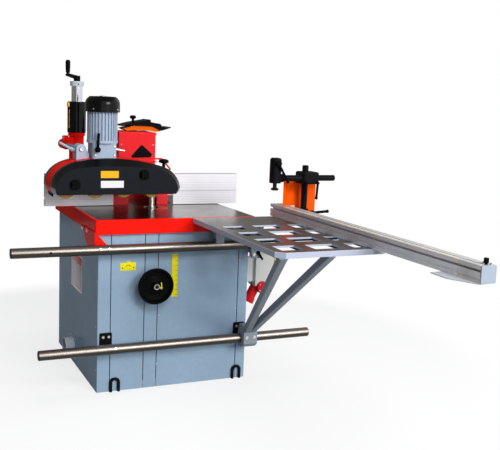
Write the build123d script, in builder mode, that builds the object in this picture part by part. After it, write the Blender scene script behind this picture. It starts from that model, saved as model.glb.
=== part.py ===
"""Spindle moulder with a sliding table, a mitre fence, a work clamp and a power feeder.

Frame: +X to the right, +Y to the back, +Z up. The origin is on the floor under the middle
of the cabinet, and the operator stands on the -Y side. All sizes are in millimetres.
"""
import os

from build123d import *

os.makedirs("parts", exist_ok=True)

# Fits
RUN_FIT = 0.05
SLIDE_GAP = 0.3
PANEL_SEAM = 4.0

# Cabinet and fixed table
TABLE_HEIGHT = 870.0
TABLE_PLATE_T = 30.0
TABLE_RIB_H = 40.0
SKIRT_H = 72.0
SKIRT_T = 12.0
CABINET_W = 800.0
CABINET_D = 900.0
TABLE_W = CABINET_W + 40.0
TABLE_D = CABINET_D + 44.0
CABINET_H = TABLE_HEIGHT - TABLE_PLATE_T - TABLE_RIB_H
SHEET = 3.0
LEFT_FLANGE = 65.0
RIGHT_FLANGE = 55.0
BASE_H = 40.0
CX = CABINET_W / 2
CY = CABINET_D / 2
LEFT_SEAM_X = -CX + LEFT_FLANGE
RIGHT_SEAM_X = CX - RIGHT_FLANGE
STRIP_LEFT_X = LEFT_SEAM_X + 172.0
STRIP_RIGHT_X = STRIP_LEFT_X + 69.0
DUST_PORT_R = 50.0
DUST_PORT_LENGTH = 52.0
DUST_PORT_Y = 60.0
DUST_PORT_Z = 92.0
DUST_PORT_WALL = 2.5
DUST_FLANGE = 128.0
DUST_CUTOUT = 100.0
HINGE_PIN_R = 3.0
HINGE_R = 5.5
HINGE_X = LEFT_SEAM_X - 2.0
HINGE_Y = CY + HINGE_R
HINGE_HEIGHTS = (150.0, CABINET_H - 160.0)
HINGE_LENGTH = 60.0

# Switch box on the right side
SWITCH_LEFT = CX + 52.0
SWITCH_DEPTH = 108.0
SWITCH_Y = -CY + 55.0
SWITCH_W = 90.0
SWITCH_Z = TABLE_HEIGHT - 288.0
SWITCH_H = 188.0
SWITCH_RIGHT = SWITCH_LEFT + SWITCH_DEPTH
SWITCH_FRONT = SWITCH_Y - SWITCH_W / 2
SWITCH_BOTTOM = SWITCH_Z - SWITCH_H / 2
STOP_Y = SWITCH_Y - 25.0
STOP_Z = SWITCH_Z + 40.0
STOP_R = 9.0
STOP_COLLAR = 8.0
STOP_TRAVEL = 5.0

# Spindle, its lift and its drive
SCREW_OFFSET = 118.5
SPINDLE_X = (STRIP_LEFT_X + STRIP_RIGHT_X) / 2 + SCREW_OFFSET
SPINDLE_Y = -60.0
SPINDLE_R = 15.0
SPINDLE_RISE = 75.0
RING_R = 90.0
RING_BORE_R = 44.0
RING_T = 10.0
QUILL_R = 55.0
QUILL_TOP = TABLE_HEIGHT - 22.0
QUILL_BOTTOM = TABLE_HEIGHT - 300.0
PLATE_Z = QUILL_BOTTOM + 30.0
NUT_Z = PLATE_Z + 70.0
NUT_H = 80.0
PULLEY_Z = QUILL_BOTTOM - 65.0
PULLEY_H = 44.0
SPINDLE_PULLEY_R = 45.0
MOTOR_PULLEY_R = 68.0
MOTOR_Y = SPINDLE_Y + 230.0
MOTOR_R = 86.0
MOTOR_H = 190.0
BELT_T = 6.0
GUIDE_R = 14.0
GUIDE_OFFSET = 92.0
GUIDE_Y = SPINDLE_Y + 105.0
WHEEL_X = (STRIP_LEFT_X + STRIP_RIGHT_X) / 2
WHEEL_Z = TABLE_HEIGHT - 327.0
WHEEL_R = 90.0
WHEEL_Y = -CY - 70.0
SHAFT_R = 10.0
SCREW_R = 9.0
BEVEL_R = 30.0
BEVEL_FACE = 10.0

# Guide rails of the sliding table
RAIL_R = 24.15
RAIL_WALL = 4.0
BRACKET_STANDOFF = 14.0
RAIL_Y = -(TABLE_D / 2 + BRACKET_STANDOFF + RAIL_R)
RAIL_LENGTH = TABLE_W + 593.0
UPPER_RAIL_Z = TABLE_HEIGHT - 138.0
UPPER_RAIL_LEFT = -TABLE_W / 2 - 400.0
LOWER_RAIL_Z = 237.0
LOWER_RAIL_LEFT = -TABLE_W / 2 - 274.0
BRACKET_T = 6.0
LOWER_BRACKET_X = CX - 42.0
LEFT_LOOP_X = -CX + 90.0
RIGHT_LOOP_X = CX - 50.0
LOOP_H = 66.0
LOOP_R = 7.5

# Sliding table and its outrigger
SLIDE_RIGHT = TABLE_W / 2 + 160.0
SLIDE_LEFT = SLIDE_RIGHT - 505.0
SLIDE_BACK = -(TABLE_D / 2 + 3.0)
SLIDE_FRONT = SLIDE_BACK - 960.0
SLIDE_T = 24.0
SLIDE_UNDER = TABLE_HEIGHT - SLIDE_T
SLIDE_PLATE = 8.0
SLIDE_RIM = 12.0
SLIDE_RIB = 10.0
SLIDE_PAD = 130.0
SLIDE_BAND = 51.0
WINDOW_COLUMNS = ((43.0, 147.0), (197.0, 332.0), (385.0, 465.0))
WINDOW_FIRST_Y = SLIDE_BACK - 325.0
WINDOW_PITCH = 178.0
WINDOW_ROWS = 4
WINDOW_D = 100.0
CARRIAGE_LEFT = SLIDE_LEFT + 97.0
CARRIAGE_RIGHT = SLIDE_LEFT + 357.0
SHOE_T = 10.0
SHOE_W = 40.0
SHOE_L = 44.0
SHOE_LEFT_X = CARRIAGE_LEFT + 33.0
SHOE_RIGHT_X = CARRIAGE_RIGHT - 34.0
COLLAR_LEFT = CARRIAGE_LEFT + 170.0
COLLAR_RIGHT = COLLAR_LEFT + 76.0
STRUT_SIZE = 34.0
STRUT_FEET = (COLLAR_LEFT + 26.0, COLLAR_LEFT + 52.0)
STRUT_HEADS = (SLIDE_LEFT + 29.0, SLIDE_LEFT + 247.0)

# Mitre fence and work clamp
FENCE_LEFT = SLIDE_RIGHT - 63.0
FENCE_W = 66.0
FENCE_H = 64.0
FENCE_BACK = SLIDE_BACK + 25.0
FENCE_FRONT = FENCE_BACK - 1535.0
FENCE_Z = TABLE_HEIGHT + SLIDE_GAP
FENCE_X = FENCE_LEFT + FENCE_W / 2
FENCE_RIGHT = FENCE_LEFT + FENCE_W
FENCE_TOP = FENCE_Z + FENCE_H
CORE_W = 38.0
CORE_H = 28.0
CORE_Z = FENCE_Z + 7.0
HEAD_LENGTH = 126.0
TONGUE_LENGTH = 700.0
CAP_T = 6.0
PIVOT_Y = SLIDE_BACK - 70.0
PIVOT_R = 8.0
POST_X = FENCE_RIGHT + 28.0
POST_Y = SLIDE_BACK - 165.0
POST_R = 16.0
POST_TOP = TABLE_HEIGHT + 282.0
BAR_Y = POST_Y - 44.0
BAR_Z = POST_TOP - 60.0
BAR_R = 15.0
HEAD_X = FENCE_LEFT - 97.0
HEAD_W = 52.0
HEAD_DROP = 24.0
HEAD_RISE = 100.0
PLUNGER_R = 10.0
STUD_R = 4.0

# Cutter hood, fence plates and guard
HOOD_LEFT = SPINDLE_X - 180.0
HOOD_RIGHT = SPINDLE_X + 135.0
HOOD_FRONT = SPINDLE_Y + 128.0
HOOD_BACK = HOOD_FRONT + 232.0
HOOD_TOP = TABLE_HEIGHT + 190.0
TOWER_LEFT = HOOD_LEFT + 35.0
TOWER_RIGHT = HOOD_RIGHT - 72.0
TOWER_FRONT = HOOD_FRONT + 17.0
TOWER_BACK = HOOD_BACK - 15.0
TOWER_TOP = HOOD_TOP + 208.0
HOOD_SHEET = 4.0
HOOD_MOUTH = (SPINDLE_X - 90.0, SPINDLE_X + 72.0)
HOOD_PORT_X = (HOOD_LEFT + HOOD_RIGHT) / 2
HOOD_PORT_Z = TABLE_HEIGHT + 100.0
HOOD_PORT_R = 60.0
HOOD_PORT_LENGTH = 60.0
HOOD_KNOB = (HOOD_RIGHT - 13.0, HOOD_FRONT + 42.0)
CARRIER_LEFT = HOOD_LEFT - 240.0
CARRIER_RIGHT = HOOD_RIGHT + 255.0
BOW_Y = HOOD_FRONT + 122.0
PLATE_H = 171.0
PLATE_T = 38.0
LEFT_PLATE = (HOOD_LEFT - 372.0, HOOD_LEFT - 7.0)
RIGHT_PLATE = (HOOD_RIGHT + 20.0, HOOD_RIGHT + 404.0)
PLATE_BOTTOM = TABLE_HEIGHT + 3.0
PLATE_TOP = PLATE_BOTTOM + PLATE_H
GUARD_X = (TOWER_LEFT + TOWER_RIGHT) / 2
GUARD_Y = (TOWER_FRONT + TOWER_BACK) / 2 - 5.0

# Power feeder
COLUMN_X = -TABLE_W / 2 + 70.0
COLUMN_Y = 250.0
COLUMN_R = 29.0
COLUMN_TOP = TABLE_HEIGHT + 634.0
CAP_H = 26.0
SLEEVE_R = 50.0
CLAMP_Z = (TABLE_HEIGHT + 220.0, TABLE_HEIGHT + 382.0)
SLEEVE_Z = (CLAMP_Z[1] + SLIDE_GAP, CLAMP_Z[1] + 168.0)
ARM_X = COLUMN_X - 65.0
ARM_Z = CLAMP_Z[0] + 97.0
ARM_R = 14.0
ARM_Y = (-135.0, COLUMN_Y + 42.0)
CASE_FRONT = -195.0
CASE_BACK = -70.0
REAR_COVER_BACK = -10.0
COVER_FRONT = -300.0
COVER_FULL = -230.0
COVER_WALL = 5.0
HEAD_BOTTOM = TABLE_HEIGHT + 102.0
HEAD_X0 = COLUMN_X + 105.0
ARCH = (
    (-335.0, 28.0), (-321.0, 86.0), (-260.0, 140.0), (-166.0, 165.0), (-18.0, 174.0),
    (88.0, 166.0), (192.0, 147.0), (288.0, 108.0), (326.0, 56.0), (335.0, 24.0),
)
FACE = (
    (-332.0, 31.0), (-320.0, 68.0), (-275.0, 113.0), (-183.0, 135.0), (-39.0, 142.0),
    (70.0, 138.0), (177.0, 127.0), (260.0, 94.0), (293.0, 52.0), (301.0, 28.0),
)
COVER_KNOBS = ((-235.0, 51.0), (116.0, 100.0))
KNOB_COLLAR_R = 26.0
FEED_ROLLER_R = 47.0
FEED_ROLLER_W = 60.0
FEED_ROLLER_X = (HEAD_X0 - 275.0, HEAD_X0 - 129.0, HEAD_X0 + 17.0, HEAD_X0 + 163.0)
FEED_ROLLER_Y = CASE_FRONT - 57.0
FEED_ROLLER_Z = HEAD_BOTTOM + 27.0
AXLE_R = 8.0
FEED_MOTOR_X = HEAD_X0 - 60.0
FEED_MOTOR_Y = (CASE_FRONT + CASE_BACK) / 2
GEARBOX = 124.0
GEARBOX_Z = HEAD_BOTTOM + 171.0
STATOR_Z = GEARBOX_Z + 89.0
FAN_COVER_Z = STATOR_Z + 145.0
FAN_COVER_TOP = FAN_COVER_Z + 80.0
STATOR_R = 77.0
FAN_COVER_R = 88.0


def front(y):
    """Plane of the front view at a given y, facing the operator."""
    return Plane.XZ.offset(-y)


def side(x):
    """Plane of the side view at a given x, facing right."""
    return Plane.YZ.offset(x)


def level(z):
    """Plane of the top view at a given height."""
    return Plane.XY.offset(z)


def upright(x, y):
    """Front-view plane through a vertical axis, for revolved pieces."""
    return Plane(origin=(x, y, 0), x_dir=(1, 0, 0), z_dir=(0, -1, 0))


def block(x0, x1, y0, y1, z0, z1, mode=Mode.ADD):
    """Add a box between two corners to the open part."""
    with Locations(((x0 + x1) / 2, (y0 + y1) / 2, (z0 + z1) / 2)):
        Box(x1 - x0, y1 - y0, z1 - z0, mode=mode)


def rod(start, end, radius, mode=Mode.ADD):
    """Add a round bar between two points to the open part."""
    run = Vector(*end) - Vector(*start)
    with BuildSketch(Plane(origin=start, z_dir=run)) as disc:
        Circle(radius)
    extrude(disc.sketch, amount=run.length, mode=mode)


def arch_face(plane, points, shrink=0.0, drop=0.0):
    """Arched outline of the feeder head, drawn in by a wall, with its foot a drop below the head's."""
    half = (points[-1][0] - points[0][0]) / 2
    rise = max(height for _, height in points)
    wide = (half - shrink) / half
    tall = (rise - shrink) / rise
    drawn = [(HEAD_X0 + across * wide, HEAD_BOTTOM + height * tall) for across, height in points]
    low = HEAD_BOTTOM - drop
    with BuildSketch(plane) as face:
        with BuildLine():
            Spline(*drawn)
            Polyline(drawn[-1], (drawn[-1][0] - 12, low), (drawn[0][0] + 8, low), drawn[0])
        make_face()
    return face.sketch


def pulley_section(radius):
    """Half section of a flat-belt pulley with two rims."""
    rim = radius + BELT_T
    top = PULLEY_Z + PULLEY_H
    return (
        (0, PULLEY_Z), (rim, PULLEY_Z), (rim, PULLEY_Z + 6), (radius, PULLEY_Z + 9),
        (radius, top - 9), (rim, top - 6), (rim, top), (0, top),
    )


def keep(piece, label):
    """Name a finished piece and write it out."""
    piece.part.label = label
    export_step(piece.part, f"parts/{label}.step")


def keep_group(pieces, label):
    """Write out several solids that are joined into one named piece, such as welded plates."""
    solids = [solid for piece in pieces for solid in piece.part.solids()]
    export_step(Compound(solids, label=label), f"parts/{label}.step")


# Cabinet of folded sheet

with BuildPart() as base_frame:
    with BuildSketch(level(0)):
        Rectangle(CABINET_W - 2 * SHEET, CABINET_D - 2 * SHEET)
    extrude(amount=BASE_H)
    with BuildSketch(level(4)):
        Rectangle(CABINET_W - 2 * SHEET - 8, CABINET_D - 2 * SHEET - 8)
    extrude(amount=BASE_H, mode=Mode.SUBTRACT)
keep(base_frame, "base_frame")

with BuildPart() as side_panels:
    with BuildSketch(level(0)):
        with Locations((-CX + LEFT_FLANGE / 2 - PANEL_SEAM / 4, 0)):
            Rectangle(LEFT_FLANGE - PANEL_SEAM / 2, CABINET_D)
        with Locations((-CX + SHEET + LEFT_FLANGE / 2, 0)):
            Rectangle(LEFT_FLANGE, CABINET_D - 2 * SHEET, mode=Mode.SUBTRACT)
        with Locations((CX - RIGHT_FLANGE / 2 + PANEL_SEAM / 4, 0)):
            Rectangle(RIGHT_FLANGE - PANEL_SEAM / 2, CABINET_D)
        with Locations((CX - SHEET - RIGHT_FLANGE / 2, 0)):
            Rectangle(RIGHT_FLANGE, CABINET_D - 2 * SHEET, mode=Mode.SUBTRACT)
    extrude(amount=CABINET_H)
    upright_edges = side_panels.edges().filter_by(Axis.Z).group_by(Axis.X)
    fillet(upright_edges[0] + upright_edges[-1], radius=4)
    block(-CX + SHEET, -CX + 35, -CY + SHEET, CY - SHEET, CABINET_H - SHEET, CABINET_H)
    block(CX - 35, CX - SHEET, -CY + SHEET, CY - SHEET, CABINET_H - SHEET, CABINET_H)
    block(
        -CX - 1, -CX + SHEET + 1, DUST_PORT_Y - DUST_CUTOUT / 2, DUST_PORT_Y + DUST_CUTOUT / 2,
        DUST_PORT_Z - DUST_CUTOUT / 2, DUST_PORT_Z + DUST_CUTOUT / 2, mode=Mode.SUBTRACT,
    )
    for hinge_z in HINGE_HEIGHTS:
        rod((HINGE_X, HINGE_Y, hinge_z - 24), (HINGE_X, HINGE_Y, hinge_z - SLIDE_GAP), HINGE_R)
        rod((HINGE_X, HINGE_Y, hinge_z - 24), (HINGE_X, HINGE_Y, hinge_z + HINGE_LENGTH), HINGE_PIN_R)
        block(HINGE_X - 9, HINGE_X, CY - 1, CY + 3, hinge_z - 24, hinge_z - SLIDE_GAP)

with BuildPart() as dust_spigot:
    with BuildSketch(side(-CX)):
        with Locations((DUST_PORT_Y, DUST_PORT_Z)):
            RectangleRounded(DUST_FLANGE, DUST_FLANGE, 8)
    extrude(amount=-DUST_PORT_WALL)
    rod((-CX, DUST_PORT_Y, DUST_PORT_Z), (-CX - DUST_PORT_LENGTH, DUST_PORT_Y, DUST_PORT_Z), DUST_PORT_R)
    rod(
        (-CX + 1, DUST_PORT_Y, DUST_PORT_Z), (-CX - DUST_PORT_LENGTH - 1, DUST_PORT_Y, DUST_PORT_Z),
        DUST_PORT_R - DUST_PORT_WALL, mode=Mode.SUBTRACT,
    )
keep_group((side_panels, dust_spigot), "side_panels")

with BuildPart() as front_panels:
    seams = (LEFT_SEAM_X, STRIP_LEFT_X, STRIP_RIGHT_X, RIGHT_SEAM_X)
    for seam_left, seam_right in zip(seams, seams[1:]):
        with BuildSketch(level(BASE_H + 4)):
            with Locations(((seam_left + seam_right) / 2, -CY + 10)):
                Rectangle(seam_right - seam_left - PANEL_SEAM, 20)
            with Locations(((seam_left + seam_right) / 2, -CY + SHEET + 10)):
                Rectangle(seam_right - seam_left - PANEL_SEAM - 2 * SHEET, 20, mode=Mode.SUBTRACT)
        extrude(amount=CABINET_H - BASE_H - 8)
        block(seam_left + PANEL_SEAM / 2, seam_right - PANEL_SEAM / 2, -CY, -CY + SHEET, 0, CABINET_H)
    with BuildSketch(front(-CY + SHEET)):
        with Locations((WHEEL_X, WHEEL_Z)):
            Circle(SHAFT_R + 8)
    extrude(amount=-22)
    with BuildSketch(front(-CY)):
        with Locations((WHEEL_X, WHEEL_Z)):
            Circle(SHAFT_R + RUN_FIT)
    extrude(amount=-40, mode=Mode.SUBTRACT)
keep(front_panels, "front_panels")

with BuildPart() as rear_door:
    with BuildSketch(front(CY)):
        with Locations(((LEFT_SEAM_X + RIGHT_SEAM_X) / 2, CABINET_H / 2 + BASE_H / 2)):
            Rectangle(RIGHT_SEAM_X - LEFT_SEAM_X - PANEL_SEAM, CABINET_H - BASE_H - 2 * PANEL_SEAM)
    extrude(amount=SHEET)
    louvres = GridLocations(0, 22, 1, 8)
    with BuildSketch(front(CY)):
        with Locations((60, CABINET_H - 180)):
            with louvres:
                SlotOverall(180, 8)
    extrude(amount=SHEET, mode=Mode.SUBTRACT)
    for hinge_z in HINGE_HEIGHTS:
        rod((HINGE_X, HINGE_Y, hinge_z), (HINGE_X, HINGE_Y, hinge_z + HINGE_LENGTH), HINGE_R)
        block(HINGE_X, LEFT_SEAM_X + 16, CY, CY + SHEET, hinge_z, hinge_z + HINGE_LENGTH)
        rod(
            (HINGE_X, HINGE_Y, hinge_z), (HINGE_X, HINGE_Y, hinge_z + HINGE_LENGTH),
            HINGE_PIN_R + RUN_FIT, mode=Mode.SUBTRACT,
        )
    with BuildSketch(front(CY)):
        with Locations((RIGHT_SEAM_X - 40, CABINET_H / 2)):
            RectangleRounded(28, 110, 10)
    extrude(amount=-16)
keep(rear_door, "rear_door")

# Fixed table

with BuildPart() as worktable:
    with BuildSketch(level(TABLE_HEIGHT - TABLE_PLATE_T)):
        Rectangle(TABLE_W - 2 * SKIRT_T, TABLE_D - 2 * SKIRT_T)
    extrude(amount=TABLE_PLATE_T)
    with BuildSketch(level(CABINET_H)):
        Rectangle(CABINET_W, CABINET_D)
        Rectangle(CABINET_W - 60, CABINET_D - 60, mode=Mode.SUBTRACT)
        with Locations((SPINDLE_X - 220, 0), (SPINDLE_X + 240, 0)):
            Rectangle(16, CABINET_D - 40)
        with Locations((0, SPINDLE_Y - 170), (0, SPINDLE_Y + 390)):
            Rectangle(CABINET_W - 40, 16)
    extrude(amount=TABLE_RIB_H)
    with Locations((SPINDLE_X, SPINDLE_Y, TABLE_HEIGHT)):
        CounterBoreHole(RING_R - 12, RING_R + 0.2, RING_T)
keep(worktable, "worktable")

with BuildPart() as table_skirt:
    with BuildSketch(level(TABLE_HEIGHT - SKIRT_H)):
        RectangleRounded(TABLE_W, TABLE_D, 6)
        Rectangle(TABLE_W - 2 * SKIRT_T, TABLE_D - 2 * SKIRT_T, mode=Mode.SUBTRACT)
    extrude(amount=SKIRT_H)
keep(table_skirt, "table_skirt")

with BuildPart() as table_ring:
    with BuildSketch(level(TABLE_HEIGHT - RING_T)):
        with Locations((SPINDLE_X, SPINDLE_Y)):
            Circle(RING_R)
            Circle(RING_BORE_R, mode=Mode.SUBTRACT)
    extrude(amount=RING_T)
    chamfer(table_ring.edges().group_by(Axis.Z)[-1], length=1.5)
keep(table_ring, "table_ring")

# Guide rails on the front of the machine

bracket_face = -TABLE_D / 2 - BRACKET_STANDOFF

with BuildPart() as upper_rail_brackets:
    bracket_top = TABLE_HEIGHT - 58
    bracket_low = UPPER_RAIL_Z - 26
    tail = (bracket_face + 204, bracket_top - 62)
    toe = (bracket_face + 86, bracket_low + 8)
    with BuildSketch(side(-TABLE_W / 2)):
        with BuildLine():
            Polyline(
                tail, (bracket_face + 231, bracket_top - 20), (bracket_face + 261, bracket_top),
                (bracket_face, bracket_top), (bracket_face, bracket_low), toe,
            )
            Spline(toe, (bracket_face + 157, bracket_low + 24), tail)
        make_face()
    extrude(amount=-BRACKET_T)
    with BuildSketch(front(bracket_face)):
        Polygon(
            (-TABLE_W / 2 - BRACKET_T, bracket_top), (-TABLE_W / 2, bracket_top),
            (-TABLE_W / 2 + 76, bracket_low + 20), (-TABLE_W / 2 + 70, bracket_low),
            (-TABLE_W / 2 - BRACKET_T, bracket_low), align=None,
        )
    extrude(amount=-BRACKET_T)
    mirror(about=Plane.YZ)
keep(upper_rail_brackets, "upper_rail_brackets")

with BuildPart() as guide_rails:
    for rail_left, rail_z in ((UPPER_RAIL_LEFT, UPPER_RAIL_Z), (LOWER_RAIL_LEFT, LOWER_RAIL_Z)):
        with BuildSketch(side(rail_left)):
            with Locations((RAIL_Y, rail_z)):
                Circle(RAIL_R)
                Circle(RAIL_R - RAIL_WALL, mode=Mode.SUBTRACT)
        extrude(amount=RAIL_LENGTH)
    with BuildSketch(front(RAIL_Y)):
        with Locations((UPPER_RAIL_LEFT + 177, UPPER_RAIL_Z)):
            Circle(5)
    extrude(amount=RAIL_R + 2, mode=Mode.SUBTRACT)
keep(guide_rails, "guide_rails")

with BuildPart() as lower_rail_brackets:
    for bracket_x in (-LOWER_BRACKET_X, LOWER_BRACKET_X):
        with BuildSketch(front(-CY)):
            with Locations((bracket_x, LOWER_RAIL_Z + 29)):
                RectangleRounded(62, 78, 6)
        extrude(amount=5)
        block(
            bracket_x - 26, bracket_x + 26, RAIL_Y + RAIL_R - 0.5, -CY - 4,
            LOWER_RAIL_Z - 6, LOWER_RAIL_Z + 6,
        )
        rod(
            (bracket_x - 30, RAIL_Y, LOWER_RAIL_Z), (bracket_x + 30, RAIL_Y, LOWER_RAIL_Z),
            RAIL_R, mode=Mode.SUBTRACT,
        )
keep(lower_rail_brackets, "lower_rail_brackets")

with BuildPart() as foot_loops:
    for loop_x in (LEFT_LOOP_X, RIGHT_LOOP_X):
        with BuildLine(front(-CY - LOOP_R - 0.5)) as loop:
            FilletPolyline(
                (loop_x - 20, 0), (loop_x - 20, LOOP_H), (loop_x + 20, LOOP_H), (loop_x + 20, 0), radius=19,
            )
        with BuildSketch(Plane(origin=loop.line @ 0, z_dir=loop.line % 0)):
            Circle(LOOP_R)
        sweep(path=loop.line)
keep(foot_loops, "foot_loops")

# Switch box on the right side

stop_face = SWITCH_RIGHT + STOP_COLLAR
stop_head = stop_face + STOP_TRAVEL + 1

with BuildPart() as switch_box:
    with BuildSketch(side(SWITCH_LEFT)):
        with Locations((SWITCH_Y, SWITCH_Z)):
            RectangleRounded(SWITCH_W, SWITCH_H, 8)
    extrude(amount=SWITCH_DEPTH)
    chamfer(switch_box.faces().sort_by(Axis.X)[-1].edges(), length=3)
    with BuildSketch(side(CX)):
        with Locations((SWITCH_Y + 7, SWITCH_Z - 7)):
            RectangleRounded(60, 130, 6)
    extrude(amount=SWITCH_LEFT - CX + 1)
    rod((SWITCH_RIGHT, STOP_Y, STOP_Z), (stop_face, STOP_Y, STOP_Z), 20)
    rod((stop_face, STOP_Y, STOP_Z), (stop_face - 26, STOP_Y, STOP_Z), STOP_R + RUN_FIT, mode=Mode.SUBTRACT)
keep(switch_box, "switch_box")

with BuildPart() as stop_button:
    rod((stop_face - 18, STOP_Y, STOP_Z), (stop_head, STOP_Y, STOP_Z), STOP_R)
    with BuildSketch(Plane(origin=(stop_head, STOP_Y, STOP_Z), x_dir=(1, 0, 0), z_dir=(0, -1, 0))):
        with BuildLine():
            Polyline((0, 0), (0, 17), (6, 17))
            ThreePointArc((6, 17), (12, 13.5), (15, 7))
            Polyline((15, 7), (15, 0), (0, 0))
        make_face()
    revolve(axis=Axis((stop_head, STOP_Y, STOP_Z), (1, 0, 0)))
keep(stop_button, "stop_button")

with BuildPart() as power_inlet:
    with BuildSketch(front(SWITCH_FRONT)):
        with Locations((SWITCH_LEFT + 40, SWITCH_BOTTOM - 4)):
            Circle(32)
    extrude(amount=16)
    fillet(power_inlet.faces().sort_by(Axis.Y)[0].edges(), radius=5)
    bend = (SWITCH_LEFT - 8, SWITCH_Y, SWITCH_BOTTOM - 63)
    rod((SWITCH_LEFT + 26, SWITCH_Y, SWITCH_BOTTOM + 2), bend, 27)
    rod(bend, (SWITCH_LEFT - 22, SWITCH_Y, SWITCH_BOTTOM - 90), 31)
    block(SWITCH_LEFT + 13, SWITCH_LEFT + 53, SWITCH_Y - 25, SWITCH_Y + 25, SWITCH_BOTTOM - 28, SWITCH_BOTTOM)
    block(
        SWITCH_LEFT + 28, SWITCH_LEFT + 52, SWITCH_FRONT, SWITCH_Y - 20, SWITCH_BOTTOM - 36, SWITCH_BOTTOM,
    )
    block(
        SWITCH_LEFT, SWITCH_RIGHT, SWITCH_FRONT, SWITCH_Y + SWITCH_W / 2,
        SWITCH_BOTTOM, SWITCH_BOTTOM + SWITCH_H, mode=Mode.SUBTRACT,
    )
keep(power_inlet, "power_inlet")

# Spindle, lift and drive inside the cabinet

with BuildPart() as lift_guides:
    for guide_x in (SPINDLE_X - GUIDE_OFFSET, SPINDLE_X + GUIDE_OFFSET):
        with BuildSketch(level(PULLEY_Z - 45)):
            with Locations((guide_x, GUIDE_Y)):
                Circle(GUIDE_R)
        extrude(amount=TABLE_HEIGHT - TABLE_PLATE_T - PULLEY_Z + 45)
        with BuildSketch(level(TABLE_HEIGHT - TABLE_PLATE_T - 14)):
            with Locations((guide_x, GUIDE_Y)):
                Circle(GUIDE_R + 14)
        extrude(amount=14)
keep(lift_guides, "lift_guides")

table_under = TABLE_HEIGHT - TABLE_PLATE_T
bevel_small = BEVEL_R - BEVEL_FACE

with BuildPart() as lift_screw:
    with BuildSketch(upright(WHEEL_X, SPINDLE_Y)):
        gear_z = WHEEL_Z + bevel_small
        Polygon(
            (0, gear_z), (bevel_small - SLIDE_GAP, gear_z), (BEVEL_R - SLIDE_GAP, gear_z + BEVEL_FACE),
            (BEVEL_R - SLIDE_GAP, gear_z + BEVEL_FACE + 4), (SCREW_R, gear_z + BEVEL_FACE + 4),
            (SCREW_R, table_under - 6), (2 * SCREW_R, table_under - 6), (2 * SCREW_R, table_under),
            (0, table_under), align=None,
        )
    revolve(axis=Axis((WHEEL_X, SPINDLE_Y, 0), (0, 0, 1)))
keep(lift_screw, "lift_screw")

with BuildPart() as spindle_quill:
    with BuildSketch(upright(SPINDLE_X, SPINDLE_Y)):
        Polygon(
            (0, QUILL_BOTTOM), (QUILL_R - 10, QUILL_BOTTOM), (QUILL_R, QUILL_BOTTOM + 14),
            (QUILL_R, QUILL_TOP - 24), (QUILL_R - 12, QUILL_TOP), (0, QUILL_TOP), align=None,
        )
    revolve(axis=Axis((SPINDLE_X, SPINDLE_Y, 0), (0, 0, 1)))
    guide_spots = ((SPINDLE_X - GUIDE_OFFSET, GUIDE_Y), (SPINDLE_X + GUIDE_OFFSET, GUIDE_Y))
    with BuildSketch(level(PLATE_Z)):
        with Locations((SPINDLE_X, (MOTOR_Y + SPINDLE_Y) / 2)):
            Rectangle(2 * (GUIDE_OFFSET - GUIDE_R), MOTOR_Y - SPINDLE_Y)
        with Locations((SPINDLE_X, MOTOR_Y)):
            Circle(MOTOR_R + 4)
        with Locations(*guide_spots):
            Circle(GUIDE_R + 10)
    extrude(amount=16)
    with BuildSketch(level(PLATE_Z)):
        with Locations(*guide_spots):
            Circle(GUIDE_R + 10)
    extrude(amount=NUT_H)
    with BuildSketch(level(NUT_Z)):
        with Locations(((WHEEL_X + SPINDLE_X) / 2, SPINDLE_Y)):
            Rectangle(SPINDLE_X - WHEEL_X, 36)
    extrude(amount=20)
    with BuildSketch(level(NUT_Z)):
        with Locations((WHEEL_X, SPINDLE_Y)):
            Circle(SCREW_R + 14)
    extrude(amount=NUT_H)
    with BuildSketch(level(PLATE_Z - 5)):
        with Locations(*guide_spots):
            Circle(GUIDE_R + RUN_FIT)
        with Locations((SPINDLE_X, MOTOR_Y)):
            Circle(24)
    extrude(amount=NUT_H + 10, mode=Mode.SUBTRACT)
    with BuildSketch(level(NUT_Z - 5)):
        with Locations((WHEEL_X, SPINDLE_Y)):
            Circle(SCREW_R + RUN_FIT)
    extrude(amount=NUT_H + 10, mode=Mode.SUBTRACT)
    with BuildSketch(level(QUILL_BOTTOM - 5)):
        with Locations((SPINDLE_X, SPINDLE_Y)):
            Circle(SPINDLE_R + 4 + RUN_FIT)
    extrude(amount=QUILL_TOP - QUILL_BOTTOM + 10, mode=Mode.SUBTRACT)
keep(spindle_quill, "spindle_quill")

with BuildPart() as spindle:
    with BuildSketch(upright(SPINDLE_X, SPINDLE_Y)):
        shaft_top = TABLE_HEIGHT + SPINDLE_RISE
        shoulder = SPINDLE_R + 10
        Polygon(
            (0, PULLEY_Z - 6), (SPINDLE_R, PULLEY_Z - 6), (SPINDLE_R, PULLEY_Z + PULLEY_H),
            (SPINDLE_R + 4, PULLEY_Z + PULLEY_H), (SPINDLE_R + 4, QUILL_TOP + 2),
            (shoulder, QUILL_TOP + 2), (shoulder, TABLE_HEIGHT + 6), (SPINDLE_R, TABLE_HEIGHT + 6),
            (SPINDLE_R, shaft_top - 18), (SPINDLE_R + 6, shaft_top - 18), (SPINDLE_R + 6, shaft_top - 4),
            (SPINDLE_R - 3, shaft_top - 4), (SPINDLE_R - 5, shaft_top), (0, shaft_top), align=None,
        )
    revolve(axis=Axis((SPINDLE_X, SPINDLE_Y, 0), (0, 0, 1)))
    with BuildSketch(upright(SPINDLE_X, SPINDLE_Y)):
        Polygon(*pulley_section(SPINDLE_PULLEY_R), align=None)
    revolve(axis=Axis((SPINDLE_X, SPINDLE_Y, 0), (0, 0, 1)))
keep(spindle, "spindle")

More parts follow.
